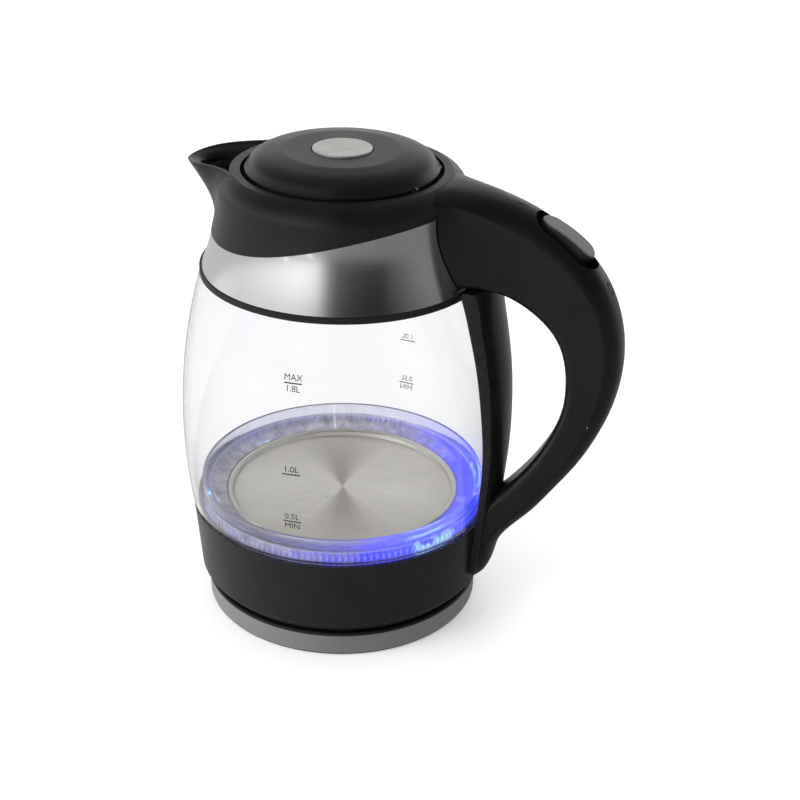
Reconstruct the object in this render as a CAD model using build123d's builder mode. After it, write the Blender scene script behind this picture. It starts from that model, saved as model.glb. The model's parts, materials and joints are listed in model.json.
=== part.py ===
from build123d import *
from math import atan2, cos, hypot, radians, sin, sqrt
import os

# Electric kettle: a glass jug on a round power base, with a handle along +X and the spout along -X.
# Millimetres, +Z up. The origin is on the jug's axis, on the surface that the base stands on.

# ---------------------------------------------------------------- driving dimensions
# general
plastic_wall = 2.4          # casing walls
part_gap = 0.3              # between pieces that move past each other
seat_gap = 0.1              # between fixed pieces that are pushed together
pin_fit = 0.05              # radial clearance of a pin in its hole
screw_r = 1.4
screw_head_r = 2.6
screw_head_h = 1.6

# power base
foot_stand = 0.7            # rubber showing under the bottom cover
foot_ring_set = 9.5         # middle of the rubber ring, inside the base's lip
foot_ring_width = 7.0
foot_groove = 0.8           # depth of the rubber ring in the cover
cover_rim_h = 0.8
cover_rim_set = 0.5         # the bottom cover's rim, inside the trim ring
cover_plate_h = 2.0
trim_ring_set = 0.8         # the trim ring, inside the lip
trim_ring_h = 10.3
trim_ring_wall = 0.6
base_lip_set = 2.8          # the base's lip, inside the skirt's bottom
base_lip_h = 2.1
base_lip_w = 7.5            # lip round the dish
base_post_set = 14.0        # screws of the base, inside the dish's edge
base_dish_depth = 1.2
connector_r = 16.0          # the round socket in the middle of the base
connector_rise = 8.0        # above the dish
cord_outlet_w = 7.6
cord_outlet_h = 6.0

# jug connector, hanging from the jug's underside into the socket
slot_1_r = 7.4              # middle radius of the inner annular slot
slot_2_r = 12.2             # middle radius of the outer annular slot
slot_w = 2.6
slot_depth = 7.0
centre_hole_r = 3.2
sleeve_wall = 0.4
blade_wall = 0.6
centre_pin_r = 1.8
connector_disc_r = 24.0
connector_disc_h = 3.0

# jug skirt and bottom
base_gap = 4.9              # shadow gap between the base and the skirt
skirt_h = 38.0
skirt_set = 3.6             # the skirt's top, inside the belly of the glass
skirt_taper = 3.4
skirt_edge_r = 2.2
skirt_wall = 1.8
bottom_cover_drop = 4.2     # how far the bottom cover hangs below the skirt
bottom_cover_set = 3.9      # the bottom cover, inside the skirt's bottom

# glass wall
glass_view_h = 125.0        # glass showing between the skirt and the gasket
belly_r = 81.3
belly_h = 44.7              # height of the widest place above the skirt
glass_arc_r = 284.0         # the wall bulges along one arc
glass_wall = 2.0
glass_neck_h = 6.5          # straight foot of the glass inside the skirt
gasket_h = 3.2

# heater
plate_set = 5.6             # the heater plate, inside its flange
plate_above_skirt = 0.7
plate_t = 0.8
plate_rim_h = 2.5
plate_flange_set = 6.9      # the flange, inside the light ring
plate_flange_drop = 7.0
light_ring_above_skirt = 12.5
light_ring_clear = 0.3
element_set = 14.0          # middle of the heating tube, inside the spreader's edge
element_tube_r = 3.3
spreader_set = 6.4          # the spreader, inside the plate
spreader_t = 3.0

# collar, band and spout
waist_set = 0.5             # the waist's foot, inside the top of the glass
waist_mid_in = 6.0          # how far the waist draws in, part of the way up
upper_mid_h = 18.0
waist_end_in = 9.0          # and at its top
upper_end_h = 38.5
shoulder_in = 6.4           # waist's top to the rim's outer edge
shoulder_out = 4.0          # bulge of the shoulder, outside the rim's edge
shoulder_drop = 3.4
collar_h = 47.7             # band start to the rim's top
band_step = 0.4             # the collar stands this much proud of the band
band_wall = 0.6
rim_w = 5.0
rim_depth = 7.7
ledge_w = 3.6
ledge_t = 1.5
spout_out = 23.4            # how far the spout's nose stands out from the waist, at the rim
spout_drop = 3.7            # the tip is this much lower than the rim
spout_root_angle = 48.0     # the spout's sides flow into the collar this far round from its middle
spout_rows = (
    # height above the band, share of spout_out, half-width where it leaves the collar
    (14.0, -0.034, 20.0),
    (20.0, 0.010, 21.0),
    (26.8, 0.185, 22.5),
    (34.3, 0.445, 24.0),
    (41.0, 0.705, 25.5),
    (47.7, 0.985, 26.6),
    (51.0, 1.090, 27.0),
)
channel_rows = (
    # the same for the pouring channel: height, inset at the nose, half-width
    (20.5, 2.2, 15.0),
    (26.8, 2.8, 15.5),
    (34.3, 4.4, 16.5),
    (41.0, 6.6, 18.5),
    (46.0, 8.6, 20.0),
)
dish_tilt = 4.8             # slope of the mouth's dished lip
dish_rows = (
    # distance above the lip, inset from the spout's outside
    (3.0, 0.2),
    (0.2, 1.4),
    (-1.7, 7.0),
    (-6.0, 9.0),
)
filter_set = 8.1            # the filter's outer face, inside the waist beside it
filter_w = 33.0
filter_h = 16.5
filter_t = 2.0
filter_mesh_t = 0.4
sill_t = 2.0

# lid
lid_gap = 2.2               # between the lid's edge and the rim
lid_above_rim = 0.8         # height of the lid's edge above the rim
lid_edge_t = 0.9
lid_rise = 8.4              # edge to crown
lid_shoulder = (
    # inside the lid's edge, height below the crown
    (18.4, 0.0),
    (17.0, 0.12),
    (12.6, 0.7),
    (8.6, 1.4),
    (5.4, 2.5),
    (2.7, 4.4),
)
lid_skin = 2.0
lid_skirt_set = 0.7
lid_skirt_t = 1.8
cup_gap = 1.4               # between the cup and the ledge
cup_floor_t = 1.5
cup_depth = 14.5            # lid edge down to the underside of the cup
cup_wall = 1.6
lid_post_set = 7.7          # two of the lid's posts, inside the cup's wall
lid_post_angle = 131.6
rear_post_set = 15.8        # and the rear one
button_r = 14.4
button_gap = 0.6
button_proud = 0.8
button_travel = 3.0
stem_r = 4.0
hinge_pin_r = 1.0
hinge_ear_t = 2.0
hinge_ear_y = 13.5
hinge_ear_w = 2.0            # slim, so that the open lid's skin clears the ears
hinge_setback = 4.60         # hinge axis inside the lid's edge
hinge_below_edge = 1.4
hinge_eye_r = 1.6
hinge_skin = 0.8            # lid skin left above the hinge
bracket_w = 34.0
bracket_t = 2.0
shelf_t = 3.0
latch_w = 16.0
latch_tongue_w = 10.0
latch_t = 2.0
latch_clear = 1.0           # the tongue stops this far inside the ledge

# handle
handle_wall = 2.6
seam_gap = 0.2
seam_below_crease = 0.4
grip_corner = 4.5
handle_ref_h = 175.9        # skirt top to rim, for which the rows below are drawn
handle_ref_r = 81.3         # belly radius, the same
handle_rows = (
    # crown: reach, height above the skirt; inside line: the same; half-widths at the crease, in the
    # middle and inside; rise of the crown
    (48.0, 176.4, 48.0, 129.5, 27.0, 27.0, 21.5, 3.6),
    (53.0, 176.1, 55.0, 129.2, 22.8, 24.5, 20.5, 3.9),
    (58.0, 176.0, 62.0, 129.5, 19.7, 22.0, 19.5, 4.4),
    (64.0, 175.5, 68.5, 130.0, 17.8, 19.6, 18.6, 5.2),
    (71.0, 174.5, 74.0, 130.2, 16.6, 17.6, 17.6, 6.1),
    (80.0, 172.7, 79.5, 129.6, 15.5, 15.8, 16.6, 7.0),
    (97.0, 167.2, 86.5, 127.6, 14.0, 14.0, 14.6, 8.0),
    (112.0, 158.3, 93.5, 124.3, 13.2, 13.2, 13.4, 8.0),
    (123.5, 148.4, 101.0, 119.5, 12.8, 12.8, 12.8, 7.5),
    (132.3, 137.3, 107.8, 113.5, 12.5, 12.5, 12.5, 7.0),
    (138.5, 123.7, 113.4, 105.5, 12.5, 12.5, 12.5, 6.5),
    (142.0, 108.2, 116.6, 95.3, 12.5, 12.5, 12.5, 6.0),
    (142.3, 92.2, 117.6, 85.2, 12.5, 12.5, 12.5, 6.0),
    (139.7, 76.4, 117.2, 75.2, 12.5, 12.5, 12.5, 6.0),
    (134.2, 60.2, 114.5, 64.5, 12.5, 12.5, 12.5, 5.5),
    (125.0, 41.8, 108.5, 50.7, 12.5, 12.5, 12.5, 5.0),
    (114.6, 26.2, 101.0, 37.7, 12.2, 12.2, 12.2, 5.0),
    (102.9, 10.1, 92.5, 26.2, 11.8, 11.8, 11.8, 5.0),
    (94.9, 1.2, 86.0, 18.7, 11.5, 11.5, 11.5, 4.5),
    (87.8, -8.4, 76.0, 6.7, 11.0, 11.0, 11.0, 4.0),
    (84.3, -17.6, 70.0, -10.3, 10.5, 10.5, 10.5, 4.0),
    (80.5, -29.3, 66.0, -25.3, 10.0, 10.0, 10.0, 4.0),
)
crown_flat = 0.72           # the crown has dropped by crown_bend of its rise at this share of its width
crown_bend = 0.34
strip_rows = (
    # height above the skirt, crown reach, half-width
    (-29.8, 80.2, 10.5),
    (-14.0, 82.6, 11.4),
    (1.7, 84.6, 12.2),
    (17.7, 86.2, 13.5),
    (43.7, 88.4, 14.9),
    (61.7, 88.6, 16.4),
    (78.7, 87.8, 17.2),
    (94.7, 85.9, 17.7),
    (111.2, 83.0, 18.1),
    (128.7, 79.2, 18.5),
)
strip_side = 0.28           # the strip's crown rises this much of its half-width
switch_reach = 32.2         # middle of the rocker, outside the belly of the glass
steam_inset = 27.0          # the steam switch, nearer the jug than the rocker
switch_recess_l = 38.0
switch_recess_w = 18.0
switch_recess_d = 8.5
switch_edge_r = 1.2         # rounding of the recess's edge
rocker_l = 30.0
rocker_w = 12.5
rocker_side_h = 6.9         # height of the rocker's wall
rocker_top = 1.2            # middle of its top, above the handle's back
rocker_crown = 2.0          # the top falls this much towards its ends
rocker_h = 10.0
rocker_foot_l = 19.0
rocker_on_tilt = 7.0        # the rocker leans this much when it is on
rocker_floor_t = 1.6
rocker_pin_r = 1.5
rocker_pin_below = 6.0      # pin under the handle's back

# ---------------------------------------------------------------- levels, from the ground up
cover_bottom = foot_stand
ring_bottom = cover_bottom + cover_rim_h
ring_top = ring_bottom + trim_ring_h
base_top = ring_top + base_lip_h
dish_top = base_top - base_dish_depth
skirt_bottom = base_top + base_gap
skirt_top = skirt_bottom + skirt_h
belly_z = skirt_top + belly_h
glass_view_top = skirt_top + glass_view_h
band_bottom = glass_view_top + gasket_h
rim_z = band_bottom + collar_h
lid_edge_z = rim_z + lid_above_rim
lid_top = lid_edge_z + lid_rise
plate_z = skirt_top + plate_above_skirt
ledge_z = rim_z - rim_depth
shelf_top = ledge_z - ledge_t - 2.4
cup_low = lid_edge_z - cup_depth
cup_floor_z = cup_low + cup_floor_t
latch_low = cup_floor_z + 0.4
filter_low = ledge_z - ledge_t - 7.0 - filter_h

# ---------------------------------------------------------------- radii, each from the piece outside it
skirt_top_r = belly_r - skirt_set
skirt_bottom_r = skirt_top_r - skirt_taper
bottom_cover_r = skirt_bottom_r - bottom_cover_set
base_lip_r = skirt_bottom_r - base_lip_set
base_dish_r = base_lip_r - base_lip_w
base_post_r = base_dish_r - base_post_set
trim_ring_r = base_lip_r - trim_ring_set
cover_rim_r = trim_ring_r - cover_rim_set
foot_ring_r = base_lip_r - foot_ring_set
upper_start_r = belly_r - glass_arc_r + sqrt(glass_arc_r**2 - (glass_view_top - belly_z) ** 2) - waist_set
upper_mid_r = upper_start_r - waist_mid_in
upper_end_r = upper_start_r - waist_end_in
rim_outer_r = upper_end_r - shoulder_in
rim_inner_r = rim_outer_r - rim_w
ledge_r = rim_inner_r - ledge_w
lid_r = rim_inner_r - lid_gap
lid_skirt_r = lid_r - lid_skirt_set
cup_r = ledge_r - cup_gap
axis_x = lid_r - hinge_setback
axis_z = lid_edge_z - hinge_below_edge
bracket_x_low = axis_x - 3.3
bracket_screw_x = axis_x + 3.4
bracket_screw_y = 6.5


# ---------------------------------------------------------------- shared shapes
def profile(*points):
    """A closed outline in the XZ plane through its (x, z) points."""
    with BuildSketch(Plane.XZ, mode=Mode.PRIVATE) as drawn:
        with BuildLine():
            Polyline(*points, close=True)
        make_face()
    return drawn.sketch


def box_between(low, high):
    """The outline and height of a box between two corners, as a solid kept out of the open part."""
    size = [h - l for l, h in zip(low, high)]
    middle = [(l + h) / 2 for l, h in zip(low, high)]
    return Pos(*middle) * Box(*size, mode=Mode.PRIVATE)


def glass_r(z):
    """Outer radius of the glass at height z."""
    return belly_r - glass_arc_r + sqrt(glass_arc_r**2 - (z - belly_z) ** 2)


def circle_through(a, b, c):
    """Centre and radius of the circle through three (r, z) points."""
    d = 2 * (a[0] * (b[1] - c[1]) + b[0] * (c[1] - a[1]) + c[0] * (a[1] - b[1]))
    sa, sb, sc = (p[0] ** 2 + p[1] ** 2 for p in (a, b, c))
    x = (sa * (b[1] - c[1]) + sb * (c[1] - a[1]) + sc * (a[1] - b[1])) / d
    z = (sa * (c[0] - b[0]) + sb * (a[0] - c[0]) + sc * (b[0] - a[0])) / d
    return x, z, hypot(a[0] - x, a[1] - z)


upper_arc = circle_through(
    (upper_start_r, band_bottom),
    (upper_mid_r, band_bottom + upper_mid_h),
    (upper_end_r, band_bottom + upper_end_h),
)


def upper_r(z):
    """Outer radius of the collar's waist at height z."""
    x, zc, r = upper_arc
    return x - sqrt(r**2 - (z - zc) ** 2)


def skirt_r(z):
    """Outer radius of the skirt at height z."""
    return skirt_bottom_r + (skirt_top_r - skirt_bottom_r) * (z - skirt_bottom) / skirt_h


def arc_points(radius_at, z_low, z_high, offset):
    """Start, middle and end of a wall's line, offset outwards."""
    z_mid = (z_low + z_high) / 2
    return [(radius_at(z) + offset, z) for z in (z_low, z_mid, z_high)]



def turned(*points):
    """A solid of revolution about the kettle's axis from (radius, height) points."""
    return revolve(profile(*points), axis=Axis.Z, mode=Mode.PRIVATE)


# ---------------------------------------------------------------- power base
housing_r = trim_ring_r - trim_ring_wall - seat_gap
housing_inner_r = housing_r - plastic_wall
cover_top = ring_bottom + cover_plate_h
hub_r = connector_r + plastic_wall + 1.0

# A shallow dish with a lip that rests on the trim ring, open underneath.
with BuildPart() as base_housing:
    add(
        turned(
            (0, dish_top),
            (base_dish_r, dish_top),
            (base_dish_r + 1.5, base_top),
            (base_lip_r, base_top),
            (base_lip_r, ring_top),
            (housing_r, ring_top),
            (housing_r, ring_bottom + seat_gap),
            (housing_inner_r, ring_bottom + seat_gap),
            (housing_inner_r, dish_top - plastic_wall),
            (0, dish_top - plastic_wall),
        )
    )
    fillet(
        base_housing.edges().filter_by(GeomType.CIRCLE).filter_by(lambda e: e.radius > base_lip_r - 0.01),
        radius=0.8,
    )
    # socket hole
    Hole(radius=connector_r + seat_gap)
    # three posts that the bottom cover is screwed to
    with PolarLocations(base_post_r, 3, start_angle=30):
        with Locations((0, 0, cover_top + seat_gap)):
            Cylinder(
                radius=screw_r + 2.2,
                height=dish_top - 0.8 - cover_top - seat_gap,
                align=(Align.CENTER, Align.CENTER, Align.MIN),
            )
        with Locations((0, 0, cover_top)):
            Cylinder(
                radius=screw_r,
                height=dish_top - plastic_wall - cover_top,
                align=(Align.CENTER, Align.CENTER, Align.MIN),
                mode=Mode.SUBTRACT,
            )
    # mains cord outlet through the wall
    cord_box = box_between(
        (-cord_outlet_w / 2, housing_inner_r - 4, ring_bottom),
        (cord_outlet_w / 2, trim_ring_r + 2, ring_bottom + cord_outlet_h),
    )
    add(cord_box, mode=Mode.SUBTRACT)

# Brushed steel band around the base.
with BuildPart() as base_trim_ring:
    add(
        turned(
            (trim_ring_r - trim_ring_wall, ring_bottom),
            (trim_ring_r, ring_bottom),
            (trim_ring_r, ring_top),
            (trim_ring_r - trim_ring_wall, ring_top),
        )
    )
    add(cord_box, mode=Mode.SUBTRACT)

# Plate that closes the underside, with a groove for the rubber ring.
foot_in = foot_ring_r - foot_ring_width / 2
foot_out = foot_ring_r + foot_ring_width / 2
with BuildPart() as base_bottom_cover:
    add(
        turned(
            (0, cover_bottom),
            (foot_in - seat_gap, cover_bottom),
            (foot_in - seat_gap, cover_bottom + foot_groove),
            (foot_out + seat_gap, cover_bottom + foot_groove),
            (foot_out + seat_gap, cover_bottom),
            (cover_rim_r, cover_bottom),
            (cover_rim_r, ring_bottom),
            (housing_inner_r - seat_gap, ring_bottom),
            (housing_inner_r - seat_gap, cover_top),
            (0, cover_top),
        )
    )
    with PolarLocations(base_post_r, 3, start_angle=30):
        with Locations((0, 0, cover_bottom)):
            Cylinder(
                radius=screw_r + 0.2,
                height=cover_top - cover_bottom,
                align=(Align.CENTER, Align.CENTER, Align.MIN),
                mode=Mode.SUBTRACT,
            )
            Cylinder(
                radius=screw_head_r + 0.2,
                height=screw_head_h,
                align=(Align.CENTER, Align.CENTER, Align.MIN),
                mode=Mode.SUBTRACT,
            )
    add(cord_box, mode=Mode.SUBTRACT)

# Non-slip ring that the base stands on.
with BuildPart() as base_foot_ring:
    add(
        turned(
            (foot_in, 0),
            (foot_out, 0),
            (foot_out, cover_bottom + foot_groove),
            (foot_in, cover_bottom + foot_groove),
        )
    )

# Three screws from below.
with BuildPart() as base_screws:
    with PolarLocations(base_post_r, 3, start_angle=30):
        with Locations((0, 0, cover_bottom + 0.2)):
            Cylinder(
                radius=screw_head_r,
                height=screw_head_h - 0.2,
                align=(Align.CENTER, Align.CENTER, Align.MIN),
            )
            Cylinder(radius=screw_r - 0.05, height=8.0, align=(Align.CENTER, Align.CENTER, Align.MIN))

# Round socket: two annular slots and a centre hole, with a flange under the dish.
connector_top = dish_top + connector_rise
slot_floor = connector_top - slot_depth
slot_edges = [(r - slot_w / 2, r + slot_w / 2) for r in (slot_1_r, slot_2_r)]
with BuildPart() as base_connector:
    add(
        turned(
            (0, cover_top + seat_gap),
            (hub_r, cover_top + seat_gap),
            (hub_r, dish_top - plastic_wall - seat_gap),
            (connector_r, dish_top - plastic_wall - seat_gap),
            (connector_r, connector_top),
            (0, connector_top),
        )
    )
    for r_in, r_out in slot_edges:
        add(
            turned((r_in, slot_floor), (r_out, slot_floor), (r_out, connector_top), (r_in, connector_top)),
            mode=Mode.SUBTRACT,
        )
    with Locations((0, 0, slot_floor)):
        Cylinder(
            radius=centre_hole_r,
            height=slot_depth,
            align=(Align.CENTER, Align.CENTER, Align.MIN),
            mode=Mode.SUBTRACT,
        )

# Brass sleeves: one in the centre hole, one on the inner wall of each slot.
sleeve_top = connector_top - 1.0
with BuildPart() as base_contact_sleeves:
    for r_in in [centre_hole_r - sleeve_wall] + [edges[0] for edges in slot_edges]:
        add(
            turned(
                (r_in, slot_floor),
                (r_in + sleeve_wall, slot_floor),
                (r_in + sleeve_wall, sleeve_top),
                (r_in, sleeve_top),
            )
        )

# ---------------------------------------------------------------- jug connector
disc_bottom = connector_top + 2.0
disc_top = disc_bottom + connector_disc_h
collar_in = connector_r + part_gap + 0.5
collar_out = collar_in + 1.6
collar_low = dish_top + 2.6
with BuildPart() as jug_connector:
    add(
        turned(
            (0, disc_bottom),
            (collar_in, disc_bottom),
            (collar_in, collar_low),
            (collar_out, collar_low),
            (collar_out, disc_bottom),
            (connector_disc_r, disc_bottom),
            (connector_disc_r, disc_top),
            (0, disc_top),
        )
    )

# Brass centre pin and two round blades, set into the disc.
blade_low = slot_floor + 1.0
with BuildPart() as jug_connector_contacts:
    with Locations((0, 0, blade_low)):
        Cylinder(
            radius=centre_pin_r,
            height=disc_bottom - blade_low,
            align=(Align.CENTER, Align.CENTER, Align.MIN),
        )
    for r_middle in (slot_1_r, slot_2_r):
        r_in = r_middle + 0.3
        add(
            turned(
                (r_in, blade_low),
                (r_in + blade_wall, blade_low),
                (r_in + blade_wall, disc_bottom),
                (r_in, disc_bottom),
            )
        )

# ---------------------------------------------------------------- jug underside
bottom_cover_z = skirt_bottom - bottom_cover_drop
bottom_cover_top = bottom_cover_z + plastic_wall
bottom_hole_r = collar_out + 0.6
post_circle = 63.0
with BuildPart() as jug_bottom_cover:
    add(
        turned(
            (bottom_hole_r, bottom_cover_z),
            (bottom_cover_r - 1.0, bottom_cover_z),
            (bottom_cover_r, bottom_cover_z + 1.0),
            (bottom_cover_r, skirt_bottom + 4.0),
            (bottom_cover_r - plastic_wall, skirt_bottom + 4.0),
            (bottom_cover_r - plastic_wall, bottom_cover_top),
            (bottom_hole_r, bottom_cover_top),
        )
    )
    with PolarLocations(post_circle, 3, start_angle=90):
        with Locations((0, 0, bottom_cover_z)):
            Cylinder(
                radius=screw_r + 0.2,
                height=plastic_wall,
                align=(Align.CENTER, Align.CENTER, Align.MIN),
                mode=Mode.SUBTRACT,
            )
            Cylinder(
                radius=screw_head_r + 0.2,
                height=screw_head_h,
                align=(Align.CENTER, Align.CENTER, Align.MIN),
                mode=Mode.SUBTRACT,
            )

# Skirt: a tapered black shell, rounded at its lower edge, with a seat for the glass inside.
glass_foot_z = skirt_top - glass_neck_h
glass_foot_r = skirt_r(glass_foot_z) - skirt_wall - seat_gap
seal_t = 1.5
seat_z = glass_foot_z - seal_t - seat_gap
seat_in_r = glass_foot_r - glass_wall - 0.4
with BuildPart() as jug_skirt:
    add(
        turned(
            (bottom_cover_r + seat_gap, skirt_bottom),
            (skirt_bottom_r, skirt_bottom),
            (skirt_top_r, skirt_top),
            (skirt_top_r - skirt_wall, skirt_top),
            (skirt_r(seat_z) - skirt_wall, seat_z),
            (seat_in_r, seat_z),
            (seat_in_r, seat_z - skirt_wall),
            (skirt_r(seat_z - skirt_wall) - skirt_wall, seat_z - skirt_wall),
            (skirt_r(skirt_bottom + 8.0) - skirt_wall, skirt_bottom + 8.0),
            (bottom_cover_r + seat_gap, skirt_bottom + 6.0),
        )
    )
    fillet(
        jug_skirt.edges().filter_by(GeomType.CIRCLE).filter_by(
            lambda e: abs(e.radius - skirt_bottom_r) < 0.01 and abs(e.center().Z - skirt_bottom) < 0.01
        ),
        radius=skirt_edge_r,
    )

# Silicone ring under the foot of the glass.
with BuildPart() as glass_lower_seal:
    add(
        turned(
            (glass_foot_r - glass_wall, seat_z),
            (skirt_r(seat_z) - skirt_wall, seat_z),
            (skirt_r(seat_z) - skirt_wall, glass_foot_z),
            (glass_foot_r - glass_wall, glass_foot_z),
        )
    )

# ---------------------------------------------------------------- heater
light_ring_r = glass_foot_r - glass_wall - light_ring_clear
plate_flange_r = light_ring_r - plate_flange_set
plate_r = plate_flange_r - plate_set
spreader_r = plate_r - spreader_set
element_r = spreader_r - element_set
flange_top = plate_z - plate_flange_drop
flange_low = flange_top - plate_t
with BuildPart() as heater_plate:
    add(
        turned(
            (0, plate_z - plate_t),
            (plate_r - 3.3, plate_z - plate_t),
            (plate_r - 2.0, plate_z + plate_rim_h - plate_t),
            (plate_r - plate_t, plate_z + plate_rim_h - plate_t),
            (plate_r - plate_t, flange_low),
            (plate_flange_r, flange_low),
            (plate_flange_r, flange_top),
            (plate_r, flange_top),
            (plate_r, plate_z + plate_rim_h - 0.8),
            (plate_r - 0.8, plate_z + plate_rim_h),
            (plate_r - 2.2, plate_z + plate_rim_h),
            (plate_r - 3.0, plate_z + plate_rim_h - 0.7),
            (plate_r - 3.8, plate_z),
            (0, plate_z),
        )
    )

spreader_low = plate_z - plate_t - spreader_t
with BuildPart() as heat_spreader:
    with Locations((0, 0, spreader_low)):
        Cylinder(radius=spreader_r, height=spreader_t, align=(Align.CENTER, Align.CENTER, Align.MIN))

# Tubular heating element, an open loop brazed under the spreader, with its two cold ends turned down.
element_z = spreader_low - element_tube_r
element_half_opening = 20.0
with BuildPart() as heating_element:
    with BuildSketch(Plane.XZ):
        with Locations((element_r, element_z)):
            Circle(element_tube_r)
    revolve(axis=Axis.Z, revolution_arc=360 - 2 * element_half_opening)

# Silicone ring that seals the plate's flange to the light ring's foot.
light_ring_top = skirt_top + light_ring_above_skirt
light_ring_low = flange_top + 0.6
with BuildPart() as plate_seal:
    add(
        turned(
            (plate_r + 0.6, flange_top),
            (plate_flange_r, flange_top),
            (plate_flange_r, light_ring_low),
            (plate_r + 0.6, light_ring_low),
        )
    )

# Clear ring that spreads the light between the plate and the glass.
with BuildPart() as light_ring:
    with BuildSketch(Plane.XZ):
        with BuildLine():
            Polyline(
                (plate_r + light_ring_clear, plate_z + plate_rim_h - 0.3),
                (plate_r + light_ring_clear, light_ring_low),
                (light_ring_r, light_ring_low),
                (light_ring_r, light_ring_top),
                (light_ring_r - 1.6, light_ring_top),
            )
            ThreePointArc(
                (light_ring_r - 1.6, light_ring_top),
                ((light_ring_r + plate_r) / 2 + 1.8, (plate_z + light_ring_top) / 2 - 1.0),
                (plate_r + light_ring_clear, plate_z + plate_rim_h - 0.3),
            )
        make_face()
    revolve(axis=Axis.Z)

# Ring that clamps the plate, with three posts for the bottom screws.
clamp_top = seat_z - skirt_wall - seat_gap
clamp_low = clamp_top - plastic_wall
post_r = 3.8
with BuildPart() as plate_clamp:
    add(
        turned(
            (plate_r + 1.0, clamp_low),
            (seat_in_r + 1.0, clamp_low),
            (seat_in_r + 1.0, clamp_top),
            (plate_flange_r, clamp_top),
            (plate_flange_r, flange_low - seat_gap),
            (plate_r + 1.0, flange_low - seat_gap),
        )
    )
    with PolarLocations(post_circle, 3, start_angle=90):
        with Locations((0, 0, bottom_cover_top + seat_gap)):
            Cylinder(
                radius=post_r,
                height=clamp_low - bottom_cover_top - seat_gap + 1.0,
                align=(Align.CENTER, Align.CENTER, Align.MIN),
            )
            Cylinder(
                radius=screw_r,
                height=10.0,
                align=(Align.CENTER, Align.CENTER, Align.MIN),
                mode=Mode.SUBTRACT,
            )

with BuildPart() as jug_bottom_screws:
    with PolarLocations(post_circle, 3, start_angle=90):
        with Locations((0, 0, bottom_cover_z + 0.2)):
            Cylinder(
                radius=screw_head_r,
                height=screw_head_h - 0.2,
                align=(Align.CENTER, Align.CENTER, Align.MIN),
            )
            Cylinder(radius=screw_r - 0.05, height=8.0, align=(Align.CENTER, Align.CENTER, Align.MIN))

# Ring-shaped circuit board and its light-emitting diodes.
led_r = (plate_flange_r + light_ring_r) / 2
led_h = 2.4
board_t = 1.2
with BuildPart() as led_board:
    add(
        turned(
            (plate_flange_r + 0.4, clamp_top),
            (seat_in_r - 0.2, clamp_top),
            (seat_in_r - 0.2, clamp_top + board_t),
            (plate_flange_r + 0.4, clamp_top + board_t),
        )
    )

led_angles = (-30, 30, 150, 210)
with BuildPart() as leds:
    for angle in led_angles:
        with Locations((led_r * cos(radians(angle)), led_r * sin(radians(angle)), clamp_top + board_t)):
            Cylinder(radius=1.6, height=led_h, align=(Align.CENTER, Align.CENTER, Align.MIN))
    fillet(leds.edges().group_by(Axis.Z)[-1], radius=0.9)

# Dry-boil control under the heater, above the connector, with two bimetal discs against the spreader.
control_low = disc_top + 0.6
bimetal_y = 22.0
bimetal_r = 9.0
bimetal_t = 0.6
with BuildPart() as dry_boil_control:
    with Locations((0, 0, control_low)):
        Cylinder(radius=19.0, height=12.0, align=(Align.CENTER, Align.CENTER, Align.MIN))
    with Locations((0, 0, control_low + 12.0)):
        Box(
            24.0,
            2 * (bimetal_y + bimetal_r + 1.0),
            spreader_low - bimetal_t - seat_gap - control_low - 12.0,
            align=(Align.CENTER, Align.CENTER, Align.MIN),
        )
    fillet(dry_boil_control.edges().filter_by(Axis.Z), radius=3.0)

with BuildPart() as control_bimetals:
    with Locations((0, bimetal_y, spreader_low - bimetal_t), (0, -bimetal_y, spreader_low - bimetal_t)):
        Cylinder(radius=bimetal_r, height=bimetal_t, align=(Align.CENTER, Align.CENTER, Align.MIN))

# ---------------------------------------------------------------- glass wall
neck_top = skirt_top + 2.4
glass_top = glass_view_top + gasket_h - 1.0
glass_lip_r = glass_r(glass_view_top) - 0.9


def glass_wall_line(offset):
    """The bulging wall between its two necks: start, middle and end."""
    return arc_points(glass_r, neck_top, glass_view_top, offset)


with BuildPart() as glass_body:
    with BuildSketch(Plane.XZ):
        with BuildLine():
            outer = glass_wall_line(0)
            inner = glass_wall_line(-glass_wall)
            Line((glass_foot_r, glass_foot_z), (glass_foot_r, skirt_top + 0.1))
            Spline(
                (glass_foot_r, skirt_top + 0.1),
                outer[0],
                tangents=[(0, 1), (outer[0][0] - glass_r(neck_top - 1), 1)],
            )
            ThreePointArc(*outer)
            Line(outer[2], (glass_lip_r, glass_view_top + 0.4))
            Line((glass_lip_r, glass_view_top + 0.4), (glass_lip_r, glass_top))
            Line((glass_lip_r, glass_top), (glass_lip_r - glass_wall, glass_top))
            Line((glass_lip_r - glass_wall, glass_top), (glass_lip_r - glass_wall, glass_view_top + 0.4))
            Line((glass_lip_r - glass_wall, glass_view_top + 0.4), inner[2])
            ThreePointArc(*inner)
            Spline(
                inner[0],
                (glass_foot_r - glass_wall, skirt_top + 0.1),
                tangents=[(glass_r(neck_top - 1) - outer[0][0], -1), (0, -1)],
            )
            Line((glass_foot_r - glass_wall, skirt_top + 0.1), (glass_foot_r - glass_wall, glass_foot_z))
            Line((glass_foot_r - glass_wall, glass_foot_z), (glass_foot_r, glass_foot_z))
        make_face()
    revolve(axis=Axis.Z)

# Black gasket that caps the top of the glass and shows as a thin ring under the steel band.
gasket_r = glass_r(glass_view_top) + 0.1
gasket_top = band_bottom - seat_gap
with BuildPart() as glass_gasket:
    add(
        turned(
            (glass_lip_r + seat_gap, glass_view_top + 0.45),
            (gasket_r, glass_view_top + 0.1),
            (gasket_r, gasket_top),
            (glass_lip_r - glass_wall, gasket_top),
            (glass_lip_r - glass_wall, glass_top),
            (glass_lip_r + seat_gap, glass_top),
        )
    )

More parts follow.
